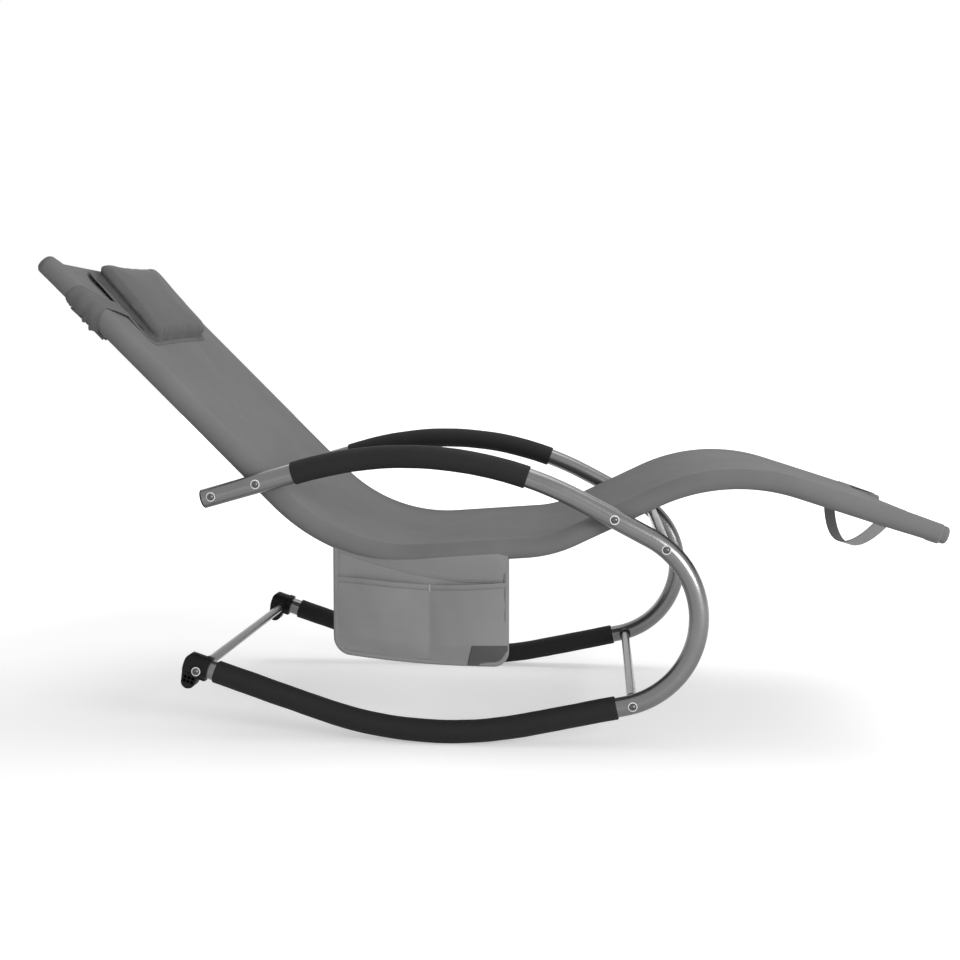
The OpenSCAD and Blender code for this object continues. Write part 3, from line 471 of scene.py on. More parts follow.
# Foam sleeves
def foam_sleeve(name, side, start, stop, seed):
    """A slit foam tube pushed on: rings r * (cos a, sin a) round the hoop at each length s of a closed
    profile, which is the outer skin, its softly rounded square-cut ends and the bore. The skin swells
    and shrinks by a third of a millimetre."""
    edge, bore, lip, steps = 0.0022, HOOP_R + 0.00035, 0.0008, 40
    turn = np.linspace(0, math.pi / 2, 6)
    long = np.linspace(start + edge, stop - edge, 150)[1:-1]
    inside = np.linspace(stop - lip, start + lip, 110)
    round_s, round_r = edge * (1 - np.sin(turn)), FOAM_R - edge * (1 - np.cos(turn))
    s = np.concatenate([start + round_s[::-1], long, stop - round_s, [stop], inside, [start]])[:, None]
    r = np.concatenate([round_r[::-1], np.full(len(long), FOAM_R), round_r, [bore + lip],
                        np.full(len(inside), bore), [bore + lip]])[:, None]
    a = np.linspace(0, 2 * math.pi, steps, endpoint=False)[None, :]
    r = r + (r > HOOP_R + 0.002) * (0.00028 * wander(s * 38 + np.cos(a) * 0.8, seed) - 0.0003)
    points = beside(HOOP, s + 0 * a, r * np.cos(a), side * HOOP_Y + r * np.sin(a))
    sleeve = piece(name, points, [quads(len(s), steps, 0, True, True)], FOAM)
    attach(sleeve, "frame")
    return sleeve


for name, side, start, stop, seed in (
        ("right_arm_foam", -1, 0.154, 0.542, 3), ("left_arm_foam", 1, 0.137, 0.559, 5),
        ("right_runner_foam", -1, LOWER_SEAM + 0.014, FOOT_MOUTH - 0.011, 7),
        ("left_runner_foam", 1, LOWER_SEAM + 0.014, FOOT_MOUTH - 0.018, 9)):
    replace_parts(foam_sleeve(name + "_skin", side, start, stop, seed), name)


# Sling
SHEET_T = 0.0014
HEAD_HEM = 0.018
# The tension fold's start (down the back, across) and the cosine and sine of its slant, and the
# hollows beside the pillow: (depth, place down the back, width)
FOLD_S, FOLD_Y, FOLD_COS, FOLD_SIN = 0.196, 0.124, 0.744, 0.668
HOLLOWS = ((0.0060, 0.070, 0.017), (0.0050, 0.142, 0.016))


def foot_hem(y):
    """How far before the rails' tips the sheet ends: in a bow, furthest in the middle."""
    return 0.062 + 0.026 * (1 - (y / RAIL_Y) ** 2)


def slimmer(s):
    """The share of their radius that the sleeves keep as they narrow towards the foot."""
    return 1 - 0.066 * smooth(RAIL_END - 0.10, RAIL_END - 0.02, s)


def sag(s, y):
    """How far the cloth hangs below the sleeves' crowns: nothing at the sleeves, most in the middle,
    and less near the head's hem and the foot."""
    near_foot = smooth(RAIL_END - 0.30, RAIL_END - 0.16, s)
    full = (0.0040 * smooth(0.016, 0.05, s) + 0.0022 * smooth(0.2, 0.35, s)) * (1 - near_foot * 0.92)
    wide = np.abs(y) / RAIL_Y
    shape = np.clip(1 - wide ** 3.2, 0, 1)
    inside = np.clip(1 - wide ** 2, 0, 1)
    ripple = 0.0006 * wander(s * 9 + y * 7, 21) * inside * smooth(0.2, 0.35, s)
    # A tension fold runs from the pillow's lower left corner down towards the right rail
    run = (s - FOLD_S) * FOLD_COS - (y - FOLD_Y) * FOLD_SIN
    off = (s - FOLD_S) * FOLD_SIN + (y - FOLD_Y) * FOLD_COS
    fold = 0.0030 * np.exp(-(off / 0.017) ** 2) * smooth(-0.01, 0.04, run) * (1 - smooth(0.22, 0.33, run))
    # The band pulls the cloth into two hollows beside the pillow
    across = ((np.abs(y) - 0.212) / 0.020) ** 2
    hollow = sum(deep * np.exp(-((s - at) / width) ** 2 - across) for deep, at, width in HOLLOWS)
    return full * shape + ripple + fold + hollow * inside ** 0.3


def sling():
    """One cloth: from a seam flap under its own underside it goes round the right rail, straight
    across to the left rail, round it and back to a flap. The profile is arcs of the sleeves' radius
    and a line, and it is carried along the rails. The sleeves start and end by the rails' tips, and the
    sheet between them ends earlier, in a hem that curves in at the foot."""
    arc = np.radians(np.linspace(318, 0, 44))
    flap = np.linspace(0.027, 0.0105, 7)[:-1]
    flap_n = np.full(len(flap), SLEEVE_R - 0.0024) + np.linspace(0, -0.0012, len(flap))
    half_y = np.concatenate([RAIL_Y - flap, RAIL_Y + SLEEVE_R * np.sin(arc)])
    half_n = np.concatenate([flap_n, SLEEVE_R * np.cos(arc)])
    across = np.linspace(-RAIL_Y, RAIL_Y, 92)[1:-1]
    y = np.concatenate([-half_y, across, half_y[::-1]])
    n = np.concatenate([half_n, np.full(len(across), SLEEVE_R), half_n[::-1]])
    width = np.concatenate([[0], np.cumsum(np.hypot(np.diff(y), np.diff(n)))])
    # Where the sheet ends, the flaps end with it, and the arcs round the rails run on as sleeves
    sheet_half = np.concatenate([np.ones(len(flap)), np.zeros(len(arc))])
    on_sheet = np.concatenate([sheet_half, np.ones(len(across)), sheet_half[::-1]])
    runs_on = 1 - smooth(0.000, 0.012, RAIL_Y - np.abs(y)) * on_sheet
    sleeve = runs_on > 0.999
    first = np.where(sleeve, 0.0, HEAD_HEM * (1 - runs_on) ** 0.6)
    last = RAIL_END - np.where(sleeve, 0.006, 0.006 * runs_on ** 3 + foot_hem(y) * (1 - runs_on ** 3))
    t = np.concatenate([np.linspace(0, 0.05, 14)[:-1], np.linspace(0.05, 0.9, 190)[:-1],
                        np.linspace(0.9, 1, 30)])[:, None]
    y, n, first, last = y[None, :], n[None, :], first[None, :], last[None, :]
    s = first + (last - first) * t
    near = np.abs(y) < RAIL_Y
    round_rail = np.abs(y) > RAIL_Y - 0.016
    slim = np.where(round_rail, slimmer(s), 1.0)
    place_y = np.where(round_rail, np.sign(y) * (RAIL_Y + (np.abs(y) - RAIL_Y) * slim), y)
    points = beside(RAIL, s, n * slim - sag(s, y) * near, place_y)
    uv = np.stack([np.broadcast_to(width, s.shape), s], -1)
    hem = 1 + 0.9 * (smooth(0.016, 0.0145, s - first) + smooth(0.022, 0.0205, last - s))
    thick = SHEET_T * np.where(near & (np.abs(n) > 0.014), hem, 1.0)
    return shell("sling_cloth", points, thick, SLING, uv), width[-1]


cloth, sling_width = sling()
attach(cloth, "frame")
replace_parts(cloth, "sling_sheet", "right_sleeve", "left_sleeve")


def sleeve_lining(side, start, stop):
    """The sleeve's own cloth under the sheet's edge, where the sheet has ended: a strip that goes round
    the sleeve's inner upper quarter, a millimetre inside it."""
    s = np.linspace(start, stop, 60)[:, None]
    turn = np.radians(np.linspace(-64, 24, 26))[None, :]
    r = (SLEEVE_R - 0.0008) * slimmer(s) + 0 * turn
    points = beside(RAIL, s, r * np.cos(turn), side * (RAIL_Y + r * np.sin(turn)))
    uv = np.stack(np.broadcast_arrays(turn * SLEEVE_R, s), -1)
    return shell("lining", points[:, ::-side], 0.0005, SLING, uv[:, ::-side])


def tip_cap(side, at, out, radius):
    """A pocket of cloth over a rail's end, whose s runs outwards by out = 1 or -1: from 20 mm inside
    the sleeve it runs out, rounds over the plug's rim in a quarter of a circle and closes near a pole.
    The inside is the same, a millimetre in."""
    wall, curve, steps = 0.0011, 0.0046, 36
    a = np.linspace(0, math.pi / 2, 14)
    end = at + out * 0.0048
    inward = np.linspace(1, 0.02, 6)[1:]
    outer_s = np.concatenate([[at - out * 0.02, at - out * 0.01], end - out * curve * (1 - np.sin(a)),
                              end + out * 0.0004 * (1 - inward ** 2)])
    outer_r = np.concatenate([[radius - 0.0006, radius - 0.0002], (radius - curve) + curve * np.cos(a),
                              (radius - curve) * inward])
    s = np.concatenate([outer_s, (outer_s - out * wall)[::-1]])[:, None]
    r = np.concatenate([outer_r, np.maximum(outer_r - wall, 0.0002)[::-1]])[:, None]
    s[-1] = outer_s[0]
    turn = np.linspace(0, 2 * math.pi, steps, endpoint=False)[None, :]
    pucker = 0.00022 * np.cos(turn * 9) * smooth(radius, radius * 0.3, r)
    points = beside(RAIL, s + out * pucker, r * np.cos(turn), side * RAIL_Y + r * np.sin(turn))
    uv = np.stack(np.broadcast_arrays(turn * radius, s), -1)
    return piece("cap", points, [quads(len(s), steps, 0, True, True)], SLING, uv)


caps = [tip_cap(side, at, out, radius) for side in (-1, 1)
        for at, out, radius in ((0.0, -1, 0.0152), (RAIL_END, 1, 0.01425))]
caps += [sleeve_lining(side, start, stop) for side in (-1, 1)
         for start, stop in ((0.0005, 0.032), (RAIL_END - 0.11, RAIL_END - 0.0062))]
tips = join("rail_tip_pockets", caps)
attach(tips, "frame")


def sling_seams():
    """Thread along both sleeves' edges and across both hems, on the sheet's own surface."""
    long = np.linspace(0.02, RAIL_END - 0.075, 420)
    across = np.linspace(-RAIL_Y + 0.014, RAIL_Y - 0.014, 160)
    lines = [(long, np.full_like(long, side * (RAIL_Y - 0.021))) for side in (-1, 1)]
    lines += [(np.full_like(across, HEAD_HEM + 0.0125), across), (RAIL_END - foot_hem(across) - 0.019, across)]
    threads = []
    for s, y in lines:
        h = trace(RAIL, s)[2]
        threads.append(stitches("thread", beside(RAIL, s, SLEEVE_R - sag(s, y) + 0.0001, y),
                                np.stack([-np.sin(h), 0 * h, np.cos(h)], -1), THREAD))
    return join("sling_stitching", threads)


seams = sling_seams()
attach(seams, "frame")


# Pillow
# Corners as (length down the back, across, off the rail's centre line): upper right, upper left,
# lower right, lower left. The seam lifts off the cloth towards its upper side.
SEAM = ((0.0310, -0.1735, 0.0225), (0.0020, 0.1735, 0.0215),
        (0.2040, -0.1750, 0.0112), (0.1785, 0.1745, 0.0112))
CROWN = ((0.0330, -0.1640, 0.0490), (-0.0005, 0.1720, 0.0432),
         (0.1875, -0.1620, 0.0340), (0.1690, 0.1740, 0.0322))


def between(corners, u, v):
    """The place at u (-1 upper side, 1 lower side) and v (-1 right, 1 left) between four corners."""
    a, b, c, d = (np.array(k) for k in corners)
    u, v = np.broadcast_arrays(u, v)
    p, q = (u[..., None] + 1) / 2, (v[..., None] + 1) / 2
    return (a * (1 - q) + b * q) * (1 - p) + (c * (1 - q) + d * q) * p


def outline(a):
    """A rounded square, |u|^14 + |v|^14 = 1, whose sides are drawn in a little between its corners."""
    u = np.sign(np.cos(a)) * np.abs(np.cos(a)) ** (2 / 14)
    v = np.sign(np.sin(a)) * np.abs(np.sin(a)) ** (2 / 14)
    return u * (1 - 0.05 * (1 - v * v)), v * (1 - 0.02 * (1 - u * u))


def on_back(place):
    return beside(RAIL, place[..., 0], place[..., 2], place[..., 1])


def pillow_body():
    """A stuffed block: rings go from the seam up a side that is tucked in below the crown's edge, round
    that edge, and over a low dome that falls away to the left. The underside lies on the cloth."""
    steps = 160
    a = np.linspace(0, 2 * math.pi, steps, endpoint=False)[None, :]
    u, v = outline(a)

    def ring(share, in_u, in_v):
        at = u * (1 - in_u), v * (1 - in_v)
        low_ring, high_ring = between(SEAM, *at), between(CROWN, *at)
        return low_ring + (high_ring - low_ring) * share[..., None]

    w = np.linspace(0, 1, 16)[:, None]
    neck = 16 * w ** 1.6 * (1 - w ** 0.8) ** 2
    side = ring(0.62 * w + 0 * a, neck * np.where(u < 0, 0.12, 0.02), neck * 0.062)
    q = np.radians(np.linspace(0, 84, 9))[1:, None]
    edge = 1 - np.cos(q)
    bend = ring(0.62 + 0.38 * np.sin(q) + 0 * a, edge * 0.125, edge * 0.062)
    r = np.cos(np.linspace(0.12, math.pi / 2 - 0.03, 30))[:, None]
    top = between(CROWN, u * 0.886 * r, v * 0.944 * r)
    fall = smooth(0.30, 0.80, v * r + 0.15 * u * r)
    top[..., 2] += 0.0062 * (1 - r ** 2.2) + 0.0020 * (1 - fall) * (1 - r ** 4)
    low = np.cos(np.linspace(math.pi / 2 - 0.05, 0.08, 14))[:, None]
    base = between(SEAM, u * low, v * low)
    rest = SLEEVE_R - sag(base[..., 0], base[..., 1]) + 0.0003
    base[..., 2] += (rest - base[..., 2]) * (1 - smooth(0.72, 1.0, low))
    rings = on_back(np.concatenate([base, side, bend, top]))
    count = len(rings)
    heading = trace(RAIL, between(SEAM, 0.0, 0.0)[0])[2]
    lift = 0.00001 * np.array([-math.sin(heading), 0, math.cos(heading)])
    poles = np.stack([rings[0].mean(axis=0), rings[-1].mean(axis=0) + lift])
    flat = np.concatenate([rings.reshape(-1, 3), poles])
    k = np.arange(steps)
    k2 = (k + 1) % steps
    fans = [np.stack([0 * k + count * steps, k, k2], -1),
            np.stack([0 * k + count * steps + 1, (count - 1) * steps + k2, (count - 1) * steps + k], -1)]
    return piece("pillow_body", flat, [quads(count, steps, 0, False, True), *fans], PILLOW)


def blow_up(obj, voxel, cap):
    """Even voxels, then cloth with air in it and no weight for a moment, so that it swells and
    creases. No point moves further than cap."""
    last = 20
    depsgraph = bpy.context.evaluated_depsgraph_get
    remesh = obj.modifiers.new("voxels", "REMESH")
    remesh.mode = "VOXEL"
    remesh.voxel_size = voxel
    even = bpy.data.meshes.new_from_object(obj.evaluated_get(depsgraph()))
    obj.modifiers.clear()
    old = obj.data
    obj.data = even
    bpy.data.meshes.remove(old)
    before, after = np.empty((2, len(even.vertices) * 3))
    even.vertices.foreach_get("co", before)
    air = obj.modifiers.new("air", "CLOTH")
    air.settings.use_pressure = True
    air.settings.uniform_pressure_force = 4.0
    air.settings.effector_weights.gravity = 0.0
    air.settings.quality = 6
    air.point_cache.frame_start = 1
    air.point_cache.frame_end = last
    for number in range(1, last + 1):
        scene.frame_set(number)
        depsgraph().update()
    swollen = obj.evaluated_get(depsgraph())
    swollen.to_mesh().vertices.foreach_get("co", after)
    swollen.to_mesh_clear()
    obj.modifiers.clear()
    scene.frame_set(1)
    move = (after - before).reshape(-1, 3)
    size = np.linalg.norm(move, axis=1, keepdims=True)
    move *= np.minimum(1, cap / np.maximum(size, 1e-9))
    even.vertices.foreach_set("co", (before.reshape(-1, 3) + move).ravel())
    even.polygons.foreach_set("use_smooth", [True] * len(even.polygons))
    even.update()


def rest_on_cloth(obj):
    """Lays a piece's underside on the sling: no point stays below the cloth at its place. The back is
    straight here, so s and n are a point's shares of the rail's heading and of its normal."""
    place = np.empty(len(obj.data.vertices) * 3)
    obj.data.vertices.foreach_get("co", place)
    place = place.reshape(-1, 3)
    x, z, h = trace(RAIL, 0.0)
    dx, dz = place[:, 0] - x, place[:, 2] - z
    s, n = dx * np.cos(h) + dz * np.sin(h), dz * np.cos(h) - dx * np.sin(h)
    lift = np.maximum(SLEEVE_R - sag(s, place[:, 1]) + 0.0003 - n, 0)
    place[:, 0] -= lift * np.sin(h)
    place[:, 2] += lift * np.cos(h)
    obj.data.vertices.foreach_set("co", place.ravel())
    obj.data.update()


pillow = pillow_body()
blow_up(pillow, 0.004, 0.0035)
rest_on_cloth(pillow)
finer = pillow.modifiers.new("finer", "SUBSURF")
finer.levels = finer.render_levels = 1
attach(pillow, "pillow")
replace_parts(pillow, "pillow_cushion")


def pillow_flange():
    """The seam that runs round the pillow's foot: a folded lip, 2.4 mm thick, with a round outer edge,
    that reaches 22 mm in under the pillow and thins out there. Its section is half a small ellipse
    outside and half a long one inside, carried round the outline."""
    a = np.linspace(0, 2 * math.pi, 320, endpoint=False)[None, :]
    q = np.linspace(0, 2 * math.pi, 16, endpoint=False)[:, None]
    u, v = outline(a)
    grow = np.where(np.cos(q) > 0, 0.0026, 0.0220) * np.cos(q) - 0.0005
    half_long, half_wide = 0.084, 0.172
    place = between(SEAM, u * (1 + grow / half_long), v * (1 + grow / half_wide))
    lying = SLEEVE_R - sag(place[..., 0], place[..., 1]) + 0.0018
    place[..., 2] = np.maximum(place[..., 2], lying) + 0.0012 * np.sin(q) + 0.0003 * wander(a * 9, 31)
    uv = np.stack(np.broadcast_arrays(a * 0.16, q * 0.002), -1)
    return piece("pillow_lip", on_back(place), [quads(*uv.shape[:2], 0, True, True)], BAND, uv)


lip = pillow_flange()
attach(lip, "pillow")


def pillow_wing(side):
    """The band beside the pillow: from the pillow's seam it runs out, widening in two hollow curves,
    lies over the sleeve's crown, goes round its outside and turns in below, and gathers on the way."""
    out = np.linspace(0, 1, 44)
    start_y = 0.158
    flat_y = start_y + (RAIL_Y - 0.001 - start_y) * out
    arc = np.linspace(0, math.pi, 30)[1:]
    radius = SLEEVE_R + 0.0017
    tail = np.linspace(0, 1, 10)[1:]
    y = np.concatenate([flat_y, RAIL_Y + radius * np.sin(arc), RAIL_Y - 0.030 * tail])
    n = np.concatenate([0.0172 + (radius - 0.0172) * out - 0.0006 * np.sin(out * math.pi),
                        radius * np.cos(arc), np.full(len(tail), -radius)])
    width = np.concatenate([[0], np.cumsum(np.hypot(np.diff(y), np.diff(n)))])
    share = np.clip(width / (RAIL_Y - start_y), 0, 1)
    askew = side * (-0.0115) * (1 - share)
    low = np.interp(width, [0, 0.045, 0.085, 0.110, 0.150], [0.093, 0.090, 0.076, 0.066, 0.066]) + askew
    high = np.interp(width, [0, 0.045, 0.085, 0.110, 0.135], [0.131, 0.120, 0.119, 0.127, 0.142]) + askew
    soft = np.ones(7) / 7
    low, high = (np.convolve(np.pad(edge, 3, mode="edge"), soft, "valid") for edge in (low, high))
    t = np.linspace(0, 1, 70)[:, None]
    s = low[None, :] + (high - low)[None, :] * t
    round_it = smooth(0.033, 0.060, width - (RAIL_Y - start_y))[None, :]
    phase = 4.0 * wander(t * 2.2 + side, 41 + side)
    ruffle = 0.5 + 0.5 * np.sin(t * 25 + width[None, :] * 90 + phase)
    frill = (0.0100 * ruffle * (0.35 + 0.65 * smooth(0.25, 0.7, t))
             + 0.0016 * (0.5 + 0.5 * np.sin(t * 74 + phase)))
    crease = 0.0008 * np.sin(t * 17 + 2 * share[None, :]) * (1 - round_it) * share[None, :] ** 2
    add = frill * round_it + crease
    # The normal of the profile points away from the rail's centre on the sleeve, and up on the flat
    ny = np.concatenate([0 * flat_y, np.sin(arc), 0 * tail])
    nn = np.concatenate([0 * flat_y + 1, np.cos(arc), 0 * tail - 1])
    points = beside(RAIL, s, n[None, :] + nn[None, :] * add, side * (y[None, :] + ny[None, :] * add))
    uv = np.stack([np.broadcast_to(width, s.shape), s], -1)
    return shell("wing", points[:, ::side], 0.0011, BAND, uv[:, ::side])


wings = join("pillow_wings", [pillow_wing(-1), pillow_wing(1)])
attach(wings, "pillow")
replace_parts(wings, "pillow_band")


def back_elastic():
    """Gathered cloth over flat elastic behind the back: a band between the wings' tails whose folds
    run along the back. Folds are rounded waves of seeded width that deepen towards both edges."""
    y = np.linspace(-RAIL_Y + 0.012, RAIL_Y - 0.012, 760)[None, :]
    t = np.linspace(0, 1, 26)[:, None]
    gather = y * 560 + 2.2 * wander(y * 30, 51) + 1.1 * np.sin(t * 3 + y * 50)
    wave = np.sin(gather)
    edge = smooth(0.16, 0.24, np.abs(y))
    depth = 0.0011 + 0.0012 * np.abs(2 * t - 1) ** 1.5 + 0.0022 * edge
    frill = 0.0016 * np.sin(gather * 0.5 + 1.0) * smooth(0.75, 1.0, np.abs(2 * t - 1))
    s = 0.075 + 0.075 * t + frill
    n = -(SLEEVE_R + 0.0052) - 0.0012 - 0.0022 * edge + depth * wave
    points = beside(RAIL, s, n, y)
    uv = np.stack(np.broadcast_arrays(y, s), -1)
    return shell("pillow_elastic_band", points, 0.0009, BAND, uv)


elastic = back_elastic()
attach(elastic, "pillow")
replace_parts(elastic, "pillow_elastic")


# Side bag
# The bag's rear and front edges, its plane, the seam that divides its pocket, and the rail above it
BAG_A = CONTACT_X - 0.1845
BAG_B = BAG_A + 0.2898
BAG_Y = -RAIL_Y - 0.0080
DIVIDER = -0.0874
RAIL_RUN = np.linspace(0.45, 1.2, 900)
RAIL_X, RAIL_Z, _ = trace(RAIL, RAIL_RUN)


def rail_z(x):
    """Height of the rail's centre line at x, read off the traced line."""
    return np.interp(x, RAIL_X, RAIL_Z)


def bag_low(x):
    """The bag's lower edge: 0.30 x^2 above its lowest level behind the middle of the rockers, level in
    front of it, with a quarter of a circle at each corner."""
    base = 0.1238 + 0.30 * np.minimum(x, 0.0) ** 2
    rear, front = 0.026, 0.025
    a = np.clip(1 - (x - BAG_A) / rear, 0, 1)
    b = np.clip(1 - (BAG_B - x) / front, 0, 1)
    return base + rear * (1 - np.sqrt(1 - a * a)) + front * (1 - np.sqrt(1 - b * b))


def bag_columns(count=150, inset=0.0):
    """Places from the bag's rear edge to its front edge, closer together at its corners."""
    u = np.linspace(0, math.pi, count)
    return BAG_A + inset + (BAG_B - BAG_A - 2 * inset) * (1 - np.cos(u)) / 2


def bag_grid(high, rows):
    """Points of the bag in columns from its lower edge up to another edge."""
    x = bag_columns()
    low = bag_low(x)
    t = np.linspace(0, 1, rows)[:, None]
    return x[None, :] + 0 * t, low[None, :] + (high(x) - low)[None, :] * t


def bag_wave(x, z, seed):
    """Slack in the cloth: two slow waves that cross, under a millimetre high."""
    return 0.0007 * wander(x * 30 + z * 11, seed) + 0.0005 * wander(z * 42 - x * 9, seed + 1)


def hang(x, z):
    """The back panel's own place across: the bag's plane, and a millimetre further out at the bottom."""
    return BAG_Y + bag_wave(x, z, 61) * smooth(0.30, 0.25, z) - 0.0010 * smooth(0.29, 0.15, z)


def flap_edge(x):
    """The lower edge of the flap that comes down from the sleeve: high at the rear, it falls in a
    hollow curve to the front."""
    return np.interp(x, [BAG_A, -0.198, -0.1305, -0.0777, -0.0347, 0.0, BAG_B],
                     [0.3130, 0.2966, 0.2783, 0.2685, 0.2629, 0.2617, 0.2612])


def pocket_edge(x):
    """The pocket's open upper edge: it hangs lowest at the divider."""
    return np.interp(x, [BAG_A, -0.198, -0.150, DIVIDER, -0.030, BAG_B],
                     [0.2697, 0.2667, 0.2621, 0.2578, 0.2586, 0.2633])


def pocket_face(x, z, proud=0.0):
    """Points on the pocket's front, proud of it by so much. It stands out from the back panel by
    nothing at its sewn sides and bottom and at the divider, and by most below each opening, which
    gapes a little: the 0.7th power of half a sine across each cell, times a rise and fall in t."""
    x, z = np.broadcast_arrays(x, z)
    low = bag_low(x)
    t = np.clip((z - low) / (pocket_edge(x) - low), 0, 1)
    rear = np.clip((x - BAG_A) / (DIVIDER - BAG_A), 0, 1)
    fore = np.clip((x - DIVIDER) / (BAG_B - DIVIDER), 0, 1)
    cell = np.sin(math.pi * np.where(x < DIVIDER, rear, fore)) ** 0.7
    rise = smooth(0.0, 0.28, t) * (1 - 0.35 * smooth(0.6, 1.0, t))
    out = 0.0014 + 0.0072 * cell * rise + 0.0012 * cell * smooth(0.93, 1.0, t) + bag_wave(x, z, 71) * rise
    return np.stack([x, hang(x, z) - out - proud, z], -1)


x, z = bag_grid(lambda q: rail_z(q) - 0.0128, 70)
back = np.stack([x, hang(x, z) + 0.0006, z], -1)
bag_back = shell("bag_back_panel", back, -0.0012, BAG, back[..., [0, 2]])


def bag_flap_points():
    """The flap comes off the sleeve: from near its crown it follows the sleeve's outside, r from the
    rail's centre, and from the outermost place it falls to its own edge and back to the bag's plane.
    At both ends r is less than the sleeve's own radius, so that the flap comes out of it gradually."""
    x = bag_columns(inset=0.001)
    s = np.interp(x, RAIL_X, RAIL_RUN)[None, :]
    inside = smooth(0.0, 0.020, np.minimum(x - BAG_A, BAG_B - x))[None, :]
    turn = np.radians(np.linspace(18, 90, 18))[:, None]
    r = SLEEVE_R - 0.0012 + 0.0020 * inside * smooth(0.3, 0.8, turn)
    over = beside(RAIL, s, r * np.cos(turn), -RAIL_Y - r * np.sin(turn))
    t = np.linspace(0, 1, 30)[1:, None]
    top, low = over[-1, :, 2], flap_edge(x)
    z = top + (low - top) * t
    near = over[-1, :, 1]
    y = near + (hang(x[None, :] + 0 * z, z) - 0.0012 - near) * smooth(0.0, 1.05, t)
    fall = np.stack([over[-1, :, 0] + (x - over[-1, :, 0]) * t, y, z], -1)
    return np.concatenate([over, fall])[::-1]


flap = bag_flap_points()
bag_flap = shell("bag_flap", flap, 0.0009, BAG, flap[..., [0, 2]])
front = pocket_face(*bag_grid(pocket_edge, 80))
bag_pocket = shell("bag_pocket_front", front, 0.0011, BAG, front[..., [0, 2]])


def pocket_hem():
    """A folded hem, 9 mm deep, along the pocket's open edge, a hair proud of it."""
    x = bag_columns(inset=0.001)[None, :]
    k = np.linspace(0, 1, 9)[:, None]
    points = pocket_face(x, pocket_edge(x) - 0.009 + 0.0094 * k, 0.0001 + 0.0004 * smooth(0.0, 0.9, k))
    return shell("hem", points, 0.0002, BAG, points[..., [0, 2]])


def edge_line(inset):
    """The bag's outline down its rear edge, along its lower edge and up its front edge, moved in."""
    rear_z = np.linspace(rail_z(BAG_A) - 0.016, float(bag_low(BAG_A)), 60)
    x = bag_columns(180)[1:-1]
    front_z = np.linspace(float(bag_low(BAG_B)), rail_z(BAG_B) - 0.016, 60)
    line = np.concatenate([np.stack([np.full(60, BAG_A), rear_z], -1), np.stack([x, bag_low(x)], -1),
                           np.stack([np.full(60, BAG_B), front_z], -1)])
    d = np.gradient(line, axis=0)
    d /= np.linalg.norm(d, axis=1, keepdims=True)
    kernel = np.ones(9) / 9
    inward = np.stack([-d[:, 1], d[:, 0]], -1)
    pad = np.pad(inward, ((4, 4), (0, 0)), mode="edge")
    inward = np.stack([np.convolve(pad[:, k], kernel, "valid") for k in (0, 1)], -1)
    inward /= np.linalg.norm(inward, axis=1, keepdims=True)
    return line + inward * inset


def bag_binding():
    """Folded tape over the bag's cut edges: its section is a flat loop, 8 mm deep outside and inside
    and round at the edge, carried along the outline."""
    prof = [(0.0080, -0.0024), (0.0040, -0.0027), (0.0008, -0.0024), (-0.0006, -0.0012), (-0.0006, 0.0004),
            (0.0008, 0.0014), (0.0040, 0.0016), (0.0070, 0.0014), (0.0070, 0.0009), (0.0078, -0.0018)]
    rows = []
    for inset, off in prof:
        x, z = edge_line(inset).T
        rows.append(np.stack([x, BAG_Y + off - 0.0008 * smooth(0.29, 0.15, z), z], -1))
    grid = np.stack(rows, 1)
    rows, cols = grid.shape[:2]
    ends = [np.arange(cols)[None, ::-1], (np.arange(cols) + (rows - 1) * cols)[None, :]]
    width = np.broadcast_to(np.linspace(0, 0.02, cols)[None, :], (rows, cols))
    long = np.broadcast_to(np.linspace(0, 0.72, rows)[:, None], (rows, cols))
    return piece("binding", grid, [quads(rows, cols, 0, False, True), *ends], BAG, np.stack([width, long], -1))


def corner_patch():
    """A darker sewn patch at the bag's lower front corner, with a slanting rear edge."""
    k = np.linspace(0, 1, 60)[None, :]
    t = np.linspace(0, 1, 24)[:, None]
    rear = -0.0171 - 0.0082 * (1 - t)
    x = rear + (BAG_B - 0.0012 - rear) * (1 - (1 - k) ** 1.6)
    base = bag_low(x) + 0.0012
    points = pocket_face(x, base + (0.159 - base) * t, 0.0007)
    return shell("bag_corner_patch", points, 0.0006, PATCH, points[..., [0, 2]])


def bag_seams():
    """Thread round the edge tape, along the pocket's hem, down the divider, along the flap's edge,
    and round a small rectangle on the flap."""
    x, z = edge_line(0.0068).T
    long = np.linspace(BAG_A + 0.010, BAG_B - 0.010, 160)
    down = np.linspace(0.2565, 0.130, 90)
    flap_lines = [(long, flap_edge(long) + 0.004)]
    flap_lines += [(at, np.linspace(0.266, 0.298, 20)) for at in (-0.0027, 0.0049)]
    flap_lines += [(np.linspace(-0.0027, 0.0330, 20), level) for level in (0.266, 0.298)]
    lines = [np.stack([x, BAG_Y - 0.0029 - 0.0006 * smooth(0.29, 0.15, z), z], -1),
             pocket_face(long, pocket_edge(long) - 0.0075, 0.0010), pocket_face(DIVIDER, down, 0.0004)]
    for x, z in flap_lines:
        x, z = np.broadcast_arrays(x, z)
        lines.append(np.stack([x, hang(x, z) - 0.0019, z], -1))
    return join("bag_stitching", [stitches("thread", line, (0, -1, 0), BAG_THREAD, 0.0040, 0.0028, 0.0004)
                                  for line in lines])


def divider_tab():
    """A short bartacked tape at the top of the divider."""
    k = np.linspace(0, 1, 9)[None, :]
    t = np.linspace(0, 1, 20)[:, None]
    points = pocket_face(DIVIDER - 0.0018 + 0.0036 * k, 0.2470 + 0.0120 * t,
                         0.0012 + 0.0004 * np.sin(math.pi * k))
    return shell("bag_tab", points, 0.0007, TAB, points[..., [0, 2]])


